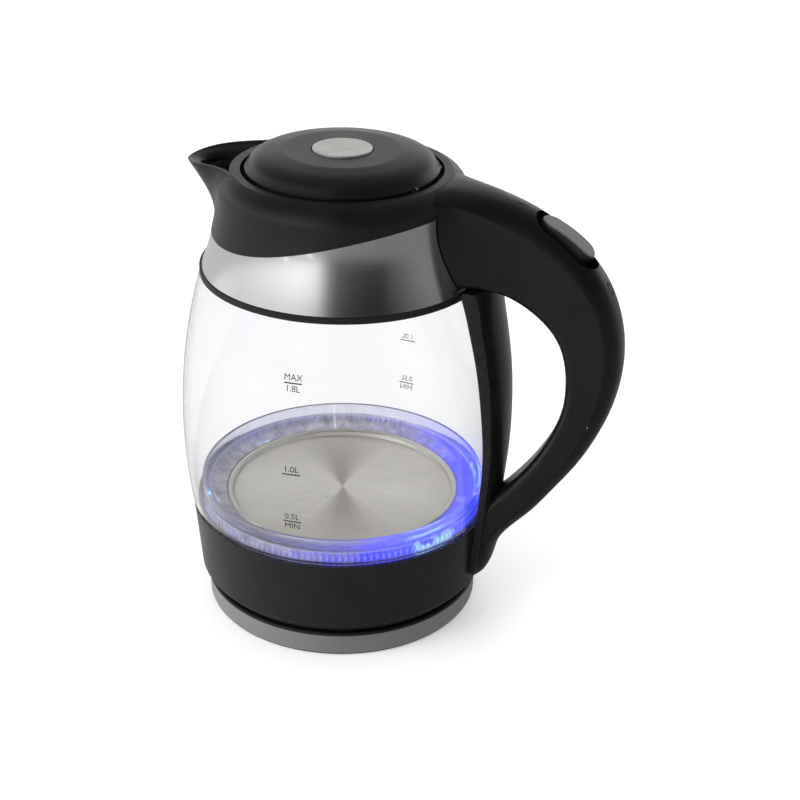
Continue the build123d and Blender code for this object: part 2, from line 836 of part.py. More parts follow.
# ---------------------------------------------------------------- steel band and spout collar
band_low_side = band_bottom + 17.2      # the band is lowest under the spout
band_high_side = band_bottom + 38.0     # and highest at the handle
curve_start_x = -52.0
curve_end_x = 72.0
curve_third = (curve_end_x - curve_start_x) / 3
far = 130.0


def under_curve(drop):
    """Everything below the sweeping line between steel and plastic, lowered by drop."""
    low, high = band_low_side - drop, band_high_side - drop
    with BuildPart(mode=Mode.PRIVATE) as below:
        with BuildSketch(Plane.XZ):
            with BuildLine():
                Line((-far, low), (curve_start_x, low))
                Bezier(
                    (curve_start_x, low),
                    (curve_start_x + curve_third, low),
                    (curve_end_x - curve_third, high),
                    (curve_end_x, high),
                )
                Polyline((curve_end_x, high), (far, high), (far, 0), (-far, 0), (-far, low))
            make_face()
        extrude(amount=far, both=True)
    return below.part


def upper_form(offset, z_low, z_high, r_in):
    """Ring with the collar's waist as its outside, offset outwards, down to radius r_in."""
    line = arc_points(upper_r, z_low, z_high, offset)
    with BuildPart(mode=Mode.PRIVATE) as form:
        with BuildSketch(Plane.XZ):
            with BuildLine():
                ThreePointArc(*line)
                Polyline(line[2], (r_in, z_high), (r_in, z_low), line[0])
            make_face()
        revolve(axis=Axis.Z)
    return form.part


shoulder_z = band_bottom + upper_end_h
sleeve_offset = -band_step - band_wall - seat_gap
with BuildPart() as steel_band:
    add(upper_form(-band_step, band_bottom, shoulder_z, 30.0))
    add(upper_form(-band_step - band_wall, band_bottom, shoulder_z, 30.0), mode=Mode.SUBTRACT)
    add(under_curve(part_gap / 2), mode=Mode.INTERSECT)

# Shoulder: the arc from the waist's top to the rim.
shoulder_arc = circle_through(
    (upper_end_r, shoulder_z),
    (rim_outer_r + shoulder_out, rim_z - shoulder_drop),
    (rim_outer_r, rim_z - 0.4),
)


def collar_r(z):
    """Outer radius of the collar at height z, on the waist and the shoulder."""
    if z <= shoulder_z:
        return upper_r(z)
    x, zc, r = shoulder_arc
    if z <= rim_z - 0.4:
        return x + sqrt(r**2 - (z - zc) ** 2)
    return rim_outer_r - 1.2 * (z - rim_z + 0.4)


def nose_reach(height):
    """Reach of the spout's nose at a height above the band, between its rows."""
    for low, high in zip(spout_rows, spout_rows[1:]):
        if height <= high[0]:
            break
    share = low[1] + (high[1] - low[1]) * (height - low[0]) / (high[0] - low[0])
    return upper_r(band_bottom + min(height, upper_end_h)) + share * spout_out


def spout_outline(reach, half, body_r):
    """Outline of the spout across one level: a pointed nose whose sides flow into the body's circle."""
    root = sqrt(body_r**2 - half**2)
    length = reach - root
    turn = radians(spout_root_angle)
    end = (-body_r * cos(turn), body_r * sin(turn))
    side = [(-reach + length * along, half * out) for along, out in ((0.112, 0.385), (0.41, 0.667), (0.80, 0.905))]
    with BuildSketch() as outline:
        with BuildLine():
            Spline(
                (end[0], -end[1]),
                *[(x, -y) for x, y in reversed(side)],
                (-reach, 0),
                *side,
                end,
                tangents=[(-sin(turn), cos(turn)), (sin(turn), cos(turn))],
            )
            Line(end, (end[0], -end[1]))
        make_face()
    return outline.sketch


# The spout's outside.
with BuildPart() as spout_form:
    for height, share, half in spout_rows:
        with BuildSketch(Plane.XY.offset(band_bottom + height)):
            add(spout_outline(nose_reach(height), half, collar_r(band_bottom + height) - 0.6))
    loft()

# The pouring channel, which leaves thick round walls beside it.
with BuildPart() as channel_form:
    for height, inset, half in channel_rows:
        with BuildSketch(Plane.XY.offset(band_bottom + height)):
            add(spout_outline(nose_reach(height) - inset, half, rim_outer_r - 1.6))
    loft()

# The spout's mouth: a dished lip that slopes down to the tip.
lip_root_x = rim_outer_r - 6.6
lip_slope = radians(dish_tilt)
lip_half = spout_rows[-2][2]
lip_reach = nose_reach(spout_rows[-2][0]) - 1.0
with BuildPart() as mouth_form:
    for above, inset in dish_rows:
        dish = spout_outline(lip_reach - inset, lip_half - inset, rim_outer_r - 1.6)
        with BuildSketch(
            Plane(
                origin=(-lip_root_x, 0, rim_z - 0.3 + above),
                x_dir=(cos(lip_slope), 0, sin(lip_slope)),
                z_dir=(-sin(lip_slope), 0, cos(lip_slope)),
            )
        ):
            with Locations((lip_root_x, 0)):
                add(dish)
    loft()

rim_wall_r = rim_inner_r + plastic_wall
with BuildPart() as spout_collar:
    with BuildSketch(Plane.XZ):
        with BuildLine():
            waist = arc_points(upper_r, band_bottom, shoulder_z, 0)
            ThreePointArc(*waist)
            ThreePointArc(waist[2], (rim_outer_r + shoulder_out, rim_z - shoulder_drop), (rim_outer_r, rim_z - 0.4))
            Polyline(
                (rim_outer_r, rim_z - 0.4),
                (rim_outer_r - 1.0, rim_z),
                (0, rim_z),
                (0, band_bottom),
                waist[0],
            )
        make_face()
    revolve(axis=Axis.Z)
    add(spout_form.part)
    # the lip slopes down to the tip
    add(box_between((-far, -far, rim_z), (far, far, rim_z + 30)), mode=Mode.SUBTRACT)
    with BuildSketch(Plane.XZ):
        with BuildLine():
            Line((0, rim_z - 0.3), (-lip_root_x, rim_z - 0.3))
            ThreePointArc(
                (-lip_root_x, rim_z - 0.3),
                (-lip_root_x - 0.6 * (lip_reach - lip_root_x), rim_z - 0.3 - 0.3 * spout_drop),
                (-lip_reach + 1.2, rim_z - spout_drop),
            )
            Polyline(
                (-lip_reach + 1.2, rim_z - spout_drop),
                (-lip_reach - 20.0, rim_z - spout_drop - 8.0),
                (-lip_reach - 20.0, rim_z + 20.0),
                (0, rim_z + 20.0),
                (0, rim_z - 0.3),
            )
        make_face()
    lip_cut = extrude(amount=far, both=True, mode=Mode.PRIVATE)
    add(
        lip_cut - Pos(0, 0, rim_z) * Cylinder(rim_outer_r - 0.5, 60, mode=Mode.PRIVATE),
        mode=Mode.SUBTRACT,
    )
    # the steel band's place, round the sleeve
    add(
        under_curve(0) - upper_form(sleeve_offset, band_bottom, shoulder_z, 1.0)
        - Pos(0, 0, band_bottom) * Cylinder(1.5, 400, mode=Mode.PRIVATE),
        mode=Mode.SUBTRACT,
    )
    # inside: straight through, with a ledge for the lid and a groove under the rim
    inner_low_r = upper_r(band_bottom) + sleeve_offset - plastic_wall
    inner_high_r = upper_r(shoulder_z) - plastic_wall - 0.6
    add(
        turned(
            (0, band_bottom),
            (inner_low_r, band_bottom),
            (upper_r(band_bottom + upper_mid_h) + sleeve_offset - plastic_wall, band_bottom + upper_mid_h),
            (inner_high_r, ledge_z - ledge_t),
            (inner_high_r, shoulder_z + 1.0),
            (rim_outer_r + 0.6, rim_z - plastic_wall - 0.4),
            (rim_wall_r, rim_z - plastic_wall - 0.4),
            (rim_wall_r, ledge_z - ledge_t),
            (ledge_r, ledge_z - ledge_t),
            (ledge_r, ledge_z),
            (rim_inner_r, ledge_z),
            (rim_inner_r, rim_z + 1.0),
            (0, rim_z + 1.0),
        ),
        mode=Mode.SUBTRACT,
    )
    # the pouring channel and the mouth, outside the rim
    rim_core = Pos(0, 0, ledge_z - ledge_t) * Cylinder(
        rim_outer_r, 60, align=(Align.CENTER, Align.CENTER, Align.MIN), mode=Mode.PRIVATE
    )
    add(channel_form.part - rim_core, mode=Mode.SUBTRACT)
    add(mouth_form.part - rim_core, mode=Mode.SUBTRACT)

    # rear: the ledge makes room for the hinge bracket, which stands on a shelf
    add(
        box_between((bracket_x_low - 0.4, -bracket_w / 2 - 0.3, shelf_top), (rim_inner_r, bracket_w / 2 + 0.3, ledge_z + 0.5)),
        mode=Mode.SUBTRACT,
    )
    add(
        box_between((bracket_x_low - 0.4, -bracket_w / 2 - 0.3, shelf_top - shelf_t), (upper_r(shelf_top), bracket_w / 2 + 0.3, shelf_top))
        & upper_form(sleeve_offset, shelf_top - shelf_t - 2.0, shelf_top + 2.0, 1.0)
    )
    for side in (-1, 1):
        with Locations((bracket_screw_x, side * bracket_screw_y, shelf_top - shelf_t)):
            Cylinder(
                radius=screw_r,
                height=shelf_t,
                align=(Align.CENTER, Align.CENTER, Align.MIN),
                mode=Mode.SUBTRACT,
            )
    # sill that the spout's filter stands on
    add(
        box_between((-upper_r(filter_low), -filter_w / 2, filter_low - sill_t), (-upper_r(filter_low + filter_h) + filter_set + 2.5, filter_w / 2, filter_low))
        & upper_form(sleeve_offset - 0.4, filter_low - sill_t - 2.0, filter_low + 2.0, 1.0)
    )

filter_x = upper_r(filter_low + filter_h) - filter_set
# Filter that slides out of the spout's mouth towards the jug's axis.
with BuildPart() as filter_frame:
    add(box_between((-filter_x, -filter_w / 2, filter_low + seat_gap), (-filter_x + filter_t, filter_w / 2, filter_low + filter_h)))
    add(
        box_between(
            (-filter_x, -filter_w / 2 + 2.0, filter_low + 2.0),
            (-filter_x + filter_t, filter_w / 2 - 2.0, filter_low + filter_h - 2.0),
        ),
        mode=Mode.SUBTRACT,
    )
    # finger tab
    add(box_between((-filter_x + filter_t, -5.0, filter_low + filter_h - 2.0), (-filter_x + filter_t + 6.0, 5.0, filter_low + filter_h - 0.5)))

mesh_pitch = 1.9
mesh_hole = 1.3
mesh_middle = -filter_x + filter_t / 2
with BuildPart() as filter_mesh:
    add(
        box_between(
            (mesh_middle - filter_mesh_t / 2, -filter_w / 2 + 2.0, filter_low + 2.0),
            (mesh_middle + filter_mesh_t / 2, filter_w / 2 - 2.0, filter_low + filter_h - 2.0),
        )
    )
    with BuildSketch(Plane.YZ.offset(mesh_middle - 1.0)):
        with Locations((0, filter_low + filter_h / 2)):
            with GridLocations(mesh_pitch, mesh_pitch, 14, 6):
                Rectangle(mesh_hole, mesh_hole)
    extrude(amount=2.0, mode=Mode.SUBTRACT)

# ---------------------------------------------------------------- lid
well_r = button_r + button_gap
well_floor_top = lid_edge_z
well_floor_low = well_floor_top - lid_skin
stem_hole_r = stem_r + 0.08
cover_skirt_low = ledge_z + 1.0

def lid_solid(drop, r_end, z_low):
    """Everything under the lid's outer surface lowered by drop, out to r_end."""
    end_drop = lid_rise - 0.85 * (lid_r - r_end)
    with BuildPart(mode=Mode.PRIVATE) as form:
        with BuildSketch(Plane.XZ):
            with BuildLine():
                rows = [(lid_r - inside, lid_top - low - drop) for inside, low in lid_shoulder]
                last = (r_end, lid_top - end_drop - drop)
                Line((0, rows[0][1]), rows[0])
                Spline(*[row for row in rows if row[0] < r_end - 1.0], last, tangents=[(1, 0), (1, -0.85)])
                Polyline(last, (r_end, z_low), (0, z_low), (0, rows[0][1]))
            make_face()
        revolve(axis=Axis.Z)
    return form.part


lid_post_r = cup_r - lid_post_set
lid_post_x, lid_post_y = lid_post_r * cos(radians(lid_post_angle)), lid_post_r * sin(radians(lid_post_angle))
lid_post_places = [(cup_r - rear_post_set, 0.0), (lid_post_x, lid_post_y), (lid_post_x, -lid_post_y)]
rear_cut_x = axis_x - 5.0
rear_cut_y = 21.0
ear_low, ear_high = hinge_ear_y - hinge_ear_t / 2, hinge_ear_y + hinge_ear_t / 2
with BuildPart() as lid_cover:
    add(lid_solid(0, lid_r, lid_edge_z - lid_edge_t))
    add(turned((0, cover_skirt_low), (lid_skirt_r, cover_skirt_low), (lid_skirt_r, lid_edge_z), (0, lid_edge_z)))
    add(lid_solid(lid_skin, lid_skirt_r - lid_skirt_t, cover_skirt_low), mode=Mode.SUBTRACT)
    # well for the button, with a hole for its stem
    add(
        turned((0, well_floor_low), (well_r + cup_wall, well_floor_low), (well_r + cup_wall, lid_top - 1.0), (0, lid_top - 1.0))
    )
    add(
        turned(
            (0, well_floor_low - 1.0),
            (stem_hole_r, well_floor_low - 1.0),
            (stem_hole_r, well_floor_top),
            (well_r, well_floor_top),
            (well_r, lid_top + 1.0),
            (0, lid_top + 1.0),
        ),
        mode=Mode.SUBTRACT,
    )
    # rear: room for the hinge
    add(
        box_between((rear_cut_x, -rear_cut_y, cover_skirt_low - 1), (lid_r + 2, rear_cut_y, lid_edge_z - lid_edge_t)),
        mode=Mode.SUBTRACT,
    )
    add(
        box_between((axis_x - 3.4, -rear_cut_y, cover_skirt_low - 1), (axis_x + 4.3, rear_cut_y, lid_top))
        & lid_solid(hinge_skin, lid_r - 0.5, cover_skirt_low - 2),
        mode=Mode.SUBTRACT,
    )
    # four bosses on the hinge pin
    boss_r = hinge_pin_r + 1.2
    for y_low in (ear_low - 3.8, ear_high + 0.5, -ear_low + 0.8, -ear_high - 3.5):
        add(
            box_between((axis_x - boss_r, y_low, axis_z), (axis_x + boss_r, y_low + 3.0, lid_top))
            & lid_solid(0.5, lid_r - 0.5, axis_z - 1)
        )
        add(Pos(axis_x, y_low + 1.5, axis_z) * Rot(90, 0, 0) * Cylinder(boss_r, 3.0, mode=Mode.PRIVATE))
    add(Pos(axis_x, 0, axis_z) * Rot(90, 0, 0) * Cylinder(hinge_pin_r + pin_fit, 60, mode=Mode.PRIVATE), mode=Mode.SUBTRACT)
    # posts for the cup's screws
    for x, y in lid_post_places:
        add(
            Pos(x, y, cup_floor_z + seat_gap)
            * Cylinder(3.4, 30, align=(Align.CENTER, Align.CENTER, Align.MIN), mode=Mode.PRIVATE)
            & lid_solid(1.0, lid_r - 0.5, cup_floor_z)
        )
        with Locations((x, y, cup_floor_z + seat_gap)):
            Cylinder(
                radius=screw_r, height=9.0, align=(Align.CENTER, Align.CENTER, Align.MIN), mode=Mode.SUBTRACT
            )

# Cup that closes the lid from below, with a slot for the latch and two rails beside it.
cup_rear_x = axis_x - 4.2
latch_top = latch_low + latch_t
rail_in = latch_w / 2 + part_gap
rail_y = (rail_in, -rail_in - 1.4)
with BuildPart() as lid_cup:
    add(
        turned((0, cup_low), (cup_r - 1.2, cup_low), (cup_r, cup_low + 1.2), (cup_r, lid_edge_z - 1.5), (0, lid_edge_z - 1.5))
        & box_between((-far, -far, 0), (cup_rear_x, far, 400))
    )
    add(
        turned((0, cup_floor_z), (cup_r - cup_wall, cup_floor_z), (cup_r - cup_wall, lid_edge_z), (0, lid_edge_z))
        & box_between((-far, -far, 0), (cup_rear_x - cup_wall, far, 400)),
        mode=Mode.SUBTRACT,
    )
    for y in rail_y:
        add(box_between((-cup_r + 5.0, y, cup_floor_z - 0.5), (9.0, y + 1.4, latch_top + 0.6)))
    add(
        box_between((-cup_r - 1, -latch_tongue_w / 2 - 0.4, latch_low - 0.3), (-cup_r + 3.0, latch_tongue_w / 2 + 0.4, latch_top + 0.4)),
        mode=Mode.SUBTRACT,
    )
    for x, y in lid_post_places:
        with Locations((x, y, cup_low)):
            Cylinder(
                radius=screw_r + 0.2, height=cup_floor_t, align=(Align.CENTER, Align.CENTER, Align.MIN), mode=Mode.SUBTRACT
            )

with BuildPart() as lid_screws:
    for x, y in lid_post_places:
        with Locations((x, y, cup_low - 1.3)):
            Cylinder(radius=screw_head_r, height=1.3 - 0.05, align=(Align.CENTER, Align.CENTER, Align.MIN))
            Cylinder(radius=screw_r - 0.05, height=9.0, align=(Align.CENTER, Align.CENTER, Align.MIN))

# Silicone strip under the lid's skirt.
with BuildPart() as lid_seal:
    add(
        turned(
            (lid_skirt_r - lid_skirt_t, ledge_z + part_gap),
            (lid_skirt_r, ledge_z + part_gap),
            (lid_skirt_r, cover_skirt_low),
            (lid_skirt_r - lid_skirt_t, cover_skirt_low),
        )
    )
    add(box_between((rear_cut_x, -rear_cut_y, 0), (far, rear_cut_y, 400)), mode=Mode.SUBTRACT)

# Button: a cap on a stem whose tip is cut at 45 degrees.
cap_top = lid_top + button_proud
cap_low = cap_top - 4.6
tip_low = latch_top + 1.1
ramp_lift = tip_low                     # the ramp's plane is z = x + ramp_lift
with BuildPart() as lid_button:
    add(turned((0, cap_low), (button_r, cap_low), (button_r, cap_top), (0, cap_top)))
    fillet(lid_button.edges().filter_by(GeomType.CIRCLE).group_by(Axis.Z)[-1], radius=0.5)
    add(turned((0, cap_low - 1), (button_r - 0.9, cap_low - 1), (button_r - 0.9, cap_top - 2.0), (0, cap_top - 2.0)), mode=Mode.SUBTRACT)
    with Locations((0, 0, tip_low + 4.0)):
        Cylinder(radius=stem_r, height=cap_top - 1.0 - tip_low - 4.0, align=(Align.CENTER, Align.CENTER, Align.MIN))
    add(
        extrude(
            profile((-3.0, tip_low), (0, tip_low), (3.0, tip_low + 3.0), (3.0, tip_low + 5.0), (-3.0, tip_low + 5.0)),
            amount=3.0,
            both=True,
            mode=Mode.PRIVATE,
        )
    )

# Latch: a slide whose ramp is pushed towards the hinge by the stem.
ramp_gap = part_gap * sqrt(2)
block_top = latch_top + 4.1
with BuildPart() as lid_latch:
    add(box_between((-cup_r + 13.8, -latch_w / 2, latch_low), (8.0, latch_w / 2, latch_top)))
    add(box_between((-ledge_r + latch_clear, -latch_tongue_w / 2, latch_low), (-cup_r + 13.8, latch_tongue_w / 2, latch_top)))
    add(
        extrude(
            profile(
                (latch_low - ramp_lift + ramp_gap, latch_low),
                (block_top - ramp_lift + ramp_gap, block_top),
                (8.0, block_top),
                (8.0, latch_low),
            ),
            amount=latch_w / 2,
            both=True,
            mode=Mode.PRIVATE,
        )
    )
    add(
        extrude(
            profile(
                (-3.0 - button_travel - 0.6, latch_low - 1.0),
                (latch_low - 1.0 - ramp_lift + ramp_gap, latch_low - 1.0),
                (block_top + 1.0 - ramp_lift + ramp_gap, block_top + 1.0),
                (-3.0 - button_travel - 0.6, block_top + 1.0),
            ),
            amount=4.2,
            both=True,
            mode=Mode.PRIVATE,
        ),
        mode=Mode.SUBTRACT,
    )


def coil(radius, wire, length, turns):
    """A helical spring about Z, from its lowest point at z = 0."""
    with BuildPart(mode=Mode.PRIVATE) as spring:
        with BuildLine():
            line = Helix(pitch=(length - 2 * wire) / turns, height=length - 2 * wire, radius=radius)
        with BuildSketch(Plane(origin=line @ 0, z_dir=line % 0)):
            Circle(wire)
        sweep()
    return Pos(0, 0, wire) * spring.part


# Spring under the cap.
with BuildPart() as button_spring:
    add(Pos(0, 0, well_floor_top + 0.05) * coil(7.0, 0.4, cap_top - 2.0 - well_floor_top - 0.1, 3.5))

# ---------------------------------------------------------------- lid hinge
with BuildPart() as hinge_bracket:
    add(box_between((bracket_x_low, -bracket_w / 2, shelf_top + seat_gap), (rim_inner_r - 0.6, bracket_w / 2, shelf_top + bracket_t)))
    for side in (-1, 1):
        add(
            box_between(
                (axis_x - hinge_ear_w / 2, side * hinge_ear_y - hinge_ear_t / 2, shelf_top + 1.0),
                (axis_x + hinge_ear_w / 2, side * hinge_ear_y + hinge_ear_t / 2, axis_z),
            )
        )
        add(Pos(axis_x, side * hinge_ear_y, axis_z) * Rot(90, 0, 0) * Cylinder(hinge_eye_r, hinge_ear_t, mode=Mode.PRIVATE))
    add(Pos(axis_x, 0, axis_z) * Rot(90, 0, 0) * Cylinder(hinge_pin_r + 0.02, 60, mode=Mode.PRIVATE), mode=Mode.SUBTRACT)
    for side in (-1, 1):
        with Locations((bracket_screw_x, side * bracket_screw_y, shelf_top)):
            Cylinder(
                radius=screw_r + 0.1, height=bracket_t, align=(Align.CENTER, Align.CENTER, Align.MIN), mode=Mode.SUBTRACT
            )

with BuildPart() as hinge_screws:
    for side in (-1, 1):
        with Locations((bracket_screw_x, side * bracket_screw_y, shelf_top + bracket_t - 5.0)):
            Cylinder(radius=screw_r - 0.05, height=5.5, align=(Align.CENTER, Align.CENTER, Align.MIN))
        with Locations((bracket_screw_x, side * bracket_screw_y, shelf_top + bracket_t + 0.02)):
            Cylinder(radius=screw_head_r - 0.2, height=1.2, align=(Align.CENTER, Align.CENTER, Align.MIN))

pin_half = ear_high + 3.6
with BuildPart() as hinge_pin:
    add(Pos(axis_x, 0, axis_z) * Rot(90, 0, 0) * Cylinder(hinge_pin_r, 2 * pin_half, mode=Mode.PRIVATE))

with BuildPart() as hinge_spring:
    add(Pos(axis_x, 7.0, axis_z) * Rot(90, 0, 0) * coil(1.5, 0.25, 14.0, 12))


# ---------------------------------------------------------------- handle
handle_scale = (rim_z - skirt_top) / handle_ref_h
handle_shift = belly_r - handle_ref_r
switch_x = belly_r + switch_reach


def jug_form(gap):
    """The outside of the jug's body, offset outwards, as one solid of revolution."""
    glass = arc_points(glass_r, skirt_top, glass_view_top, gap)
    waist = arc_points(upper_r, band_bottom, shoulder_z, gap)
    with BuildPart(mode=Mode.PRIVATE) as form:
        with BuildSketch(Plane.XZ):
            with BuildLine():
                Polyline(
                    (0, base_top),
                    (skirt_bottom_r + gap, base_top),
                    (skirt_bottom_r + gap, skirt_bottom),
                    (skirt_top_r + gap, skirt_top),
                    glass[0],
                )
                ThreePointArc(*glass)
                Polyline(glass[2], (gasket_r + gap, glass_view_top), (gasket_r + gap, band_bottom), waist[0])
                ThreePointArc(*waist)
                ThreePointArc(
                    waist[2],
                    (rim_outer_r + shoulder_out + gap, rim_z - shoulder_drop + gap),
                    (rim_outer_r + gap, rim_z - 0.4 + gap),
                )
                Polyline((rim_outer_r + gap, rim_z - 0.4 + gap), (rim_outer_r + gap, lid_top + 20), (0, lid_top + 20), (0, base_top))
            make_face()
        revolve(axis=Axis.Z)
    return form.part


def handle_row(row):
    """Crown point, inside point and outward direction of one row."""
    x_out, h_out, x_in, h_in = row[:4]
    crown = Vector(x_out + handle_shift, 0, skirt_top + h_out * handle_scale)
    inside = Vector(x_in + handle_shift, 0, skirt_top + h_in * handle_scale)
    return crown, inside, (crown - inside).normalized()


def handle_form(inset, rows):
    """The handle's solid form, or its hollow when inset by the wall."""
    with BuildPart(mode=Mode.PRIVATE) as form:
        for row in rows:
            crown, inside, out = handle_row(row)
            edge, middle, inner, rise = [v - inset for v in row[4:7]] + [row[7]]
            corner = max(grip_corner - inset, 1.5)
            crown -= out * inset
            deep = (crown - inside).length - inset
            bend = corner * (1 - sqrt(0.5))
            with BuildSketch(Plane(origin=crown, x_dir=(0, 1, 0), z_dir=(out.Z, 0, -out.X))):
                with BuildLine():
                    Spline(
                        (-edge, -rise),
                        (-edge * crown_flat, -rise * crown_bend),
                        (0, 0),
                        (edge * crown_flat, -rise * crown_bend),
                        (edge, -rise),
                    )
                    Spline((edge, -rise), (middle, -(deep - corner + rise) / 2), (inner, -deep + corner))
                    ThreePointArc((inner, -deep + corner), (inner - bend, -deep + bend), (inner - corner, -deep))
                    Line((inner - corner, -deep), (-inner + corner, -deep))
                    ThreePointArc((-inner + corner, -deep), (-inner + bend, -deep + bend), (-inner, -deep + corner))
                    Spline((-inner, -deep + corner), (-middle, -(deep - corner + rise) / 2), (-edge, -rise))
                make_face()
        loft()
    return form.part


def outside_seam(shift):
    """Everything outside the seam between the handle's two halves, shifted outwards."""
    line = []
    for row in handle_rows:
        crown, inside, out = handle_row(row)
        point = crown - out * (row[7] + seam_below_crease - shift)
        line.append((point.X, point.Z))
    with BuildPart(mode=Mode.PRIVATE) as form:
        with BuildSketch(Plane.XZ):
            with BuildLine():
                Spline(*line)
                Polyline(line[-1], (line[-1][0], 0), (far + 60, 0), (far + 60, lid_top + 40), (line[0][0], lid_top + 40), line[0])
            make_face()
        extrude(amount=60, both=True)
    return form.part


# D-shaped strip that covers the wires along the jug and carries the handle's foot.
with BuildPart() as handle_strip:
    for height, strip_reach, half in strip_rows:
        reach = strip_reach + handle_shift
        with BuildSketch(Plane.XY.offset(skirt_top + height * handle_scale)):
            with BuildLine():
                Polyline(
                    (reach - strip_side * half, half),
                    (rim_inner_r, half),
                    (rim_inner_r, -half),
                    (reach - strip_side * half, -half),
                )
                ThreePointArc(
                    (reach - strip_side * half, -half), (reach, 0), (reach - strip_side * half, half)
                )
            make_face()
    loft()
    strip_full = handle_strip.part
    add(jug_form(seat_gap), mode=Mode.SUBTRACT)

# Rocker's place on the handle's back: local X along the handle, local Z out of it.
switch_back = [handle_row(row)[0] for row in handle_rows]


def crown_height(x):
    """Height of the handle's back at x, between its rows."""
    for first, second in zip(switch_back, switch_back[1:]):
        if x <= second.X:
            return first.Z + (second.Z - first.Z) * (x - first.X) / (second.X - first.X)


switch_point = Vector(switch_x, 0, crown_height(switch_x) + 0.7)
lean = atan2(crown_height(switch_x - rocker_l / 2) - crown_height(switch_x + rocker_l / 2), rocker_l)
switch_plane = Plane(
    origin=switch_point, x_dir=(cos(lean), 0, -sin(lean)), z_dir=(sin(lean), 0, cos(lean))
)


def slot_solid(length, width, low, high):
    """Round-ended block across the switch's place, between two levels."""
    with BuildPart(mode=Mode.PRIVATE) as block:
        with BuildSketch(Plane.XY.offset(low)):
            SlotOverall(length, width)
        extrude(amount=high - low)
    return switch_plane.location * block.part


handle_outer = handle_form(0, handle_rows)
handle_shell = handle_outer - handle_form(handle_wall, handle_rows[4:19])
recess_low = -switch_recess_d
house_wall = 1.6

with BuildPart() as handle_cover:
    add((handle_shell & outside_seam(seam_gap / 2)))
    add(
        slot_solid(
            switch_recess_l + 2 * house_wall, switch_recess_w + 2 * house_wall, recess_low - rocker_floor_t, 1.0
        )
        & handle_outer
    )
    add(slot_solid(switch_recess_l, switch_recess_w, recess_low, 20.0), mode=Mode.SUBTRACT)
    # window under the rocker and holes for its pin
    add(
        switch_plane.location * Box(rocker_foot_l + 6.0, rocker_w + 1.0, 24.0, mode=Mode.PRIVATE),
        mode=Mode.SUBTRACT,
    )
    add(
        switch_plane.location
        * (Pos(0, 0, -rocker_pin_below) * Rot(90, 0, 0) * Cylinder(rocker_pin_r + 0.02, switch_recess_w + 2.0, mode=Mode.PRIVATE)),
        mode=Mode.SUBTRACT,
    )
    add(jug_form(seat_gap), mode=Mode.SUBTRACT)
    add(strip_full, mode=Mode.SUBTRACT)

with BuildPart() as handle_body:
    add(handle_shell - outside_seam(-seam_gap / 2))
    add(
        slot_solid(
            switch_recess_l + 2 * house_wall + 0.6,
            switch_recess_w + 2 * house_wall + 0.6,
            recess_low - rocker_floor_t - 0.3,
            1.0,
        ),
        mode=Mode.SUBTRACT,
    )
    add(jug_form(seat_gap), mode=Mode.SUBTRACT)
    add(strip_full, mode=Mode.SUBTRACT)

# Rocker switch, resting with its inner end down. Its top follows the handle's back, inside a raised edge.
rocker_ends = rocker_top - rocker_crown
with BuildPart() as rocker:
    with BuildPart(mode=Mode.PRIVATE) as rocker_block:
        with BuildSketch(Plane.XY.offset(rocker_ends - rocker_side_h + rocker_crown)):
            SlotOverall(rocker_l, rocker_w)
        extrude(amount=rocker_side_h)
        with BuildSketch(Plane.XZ):
            with BuildLine():
                ThreePointArc((-rocker_l / 2 - 1, rocker_ends), (0, rocker_top), (rocker_l / 2 + 1, rocker_ends))
                Polyline(
                    (rocker_l / 2 + 1, rocker_ends),
                    (rocker_l / 2 + 1, -rocker_h),
                    (-rocker_l / 2 - 1, -rocker_h),
                    (-rocker_l / 2 - 1, rocker_ends),
                )
            make_face()
        extrude(amount=rocker_w, both=True, mode=Mode.INTERSECT)
        fillet(rocker_block.edges().group_by(Axis.Z)[-1], radius=1.2)
        with Locations((0, 0, -rocker_h)):
            Box(rocker_foot_l, rocker_w - 0.6, rocker_h - 3.0, align=(Align.CENTER, Align.CENTER, Align.MIN))
        with Locations(Pos(0, 0, -rocker_pin_below) * Rot(90, 0, 0)):
            Cylinder(radius=rocker_pin_r + pin_fit, height=40, mode=Mode.SUBTRACT)
    add(
        switch_plane.location
        * (
            Pos(0, 0, -rocker_pin_below)
            * Rot(0, -rocker_on_tilt, 0)
            * Pos(0, 0, rocker_pin_below)
            * rocker_block.part
        )
    )

with BuildPart() as rocker_pin:
    add(
        switch_plane.location
        * (
            Pos(0, 0, -rocker_pin_below)
            * Rot(90, 0, 0)
            * Cylinder(rocker_pin_r, switch_recess_w + 1.6, mode=Mode.PRIVATE)
        )
    )

# Steam switch inside the handle: a body, its bimetal disc and two terminals.
steam_x = switch_x - steam_inset
steam_z = switch_point.Z - 10.0
with BuildPart() as steam_switch:
    add(box_between((steam_x, -7.5, steam_z - 14.0), (steam_x + 13.0, 7.5, steam_z + 1.0)))
    fillet(steam_switch.edges().filter_by(Axis.X), radius=2.0)

with BuildPart() as steam_bimetal:
    add(Pos(steam_x - 0.6, 0, steam_z - 6.5) * Rot(0, 90, 0) * Cylinder(6.0, 0.8, mode=Mode.PRIVATE))


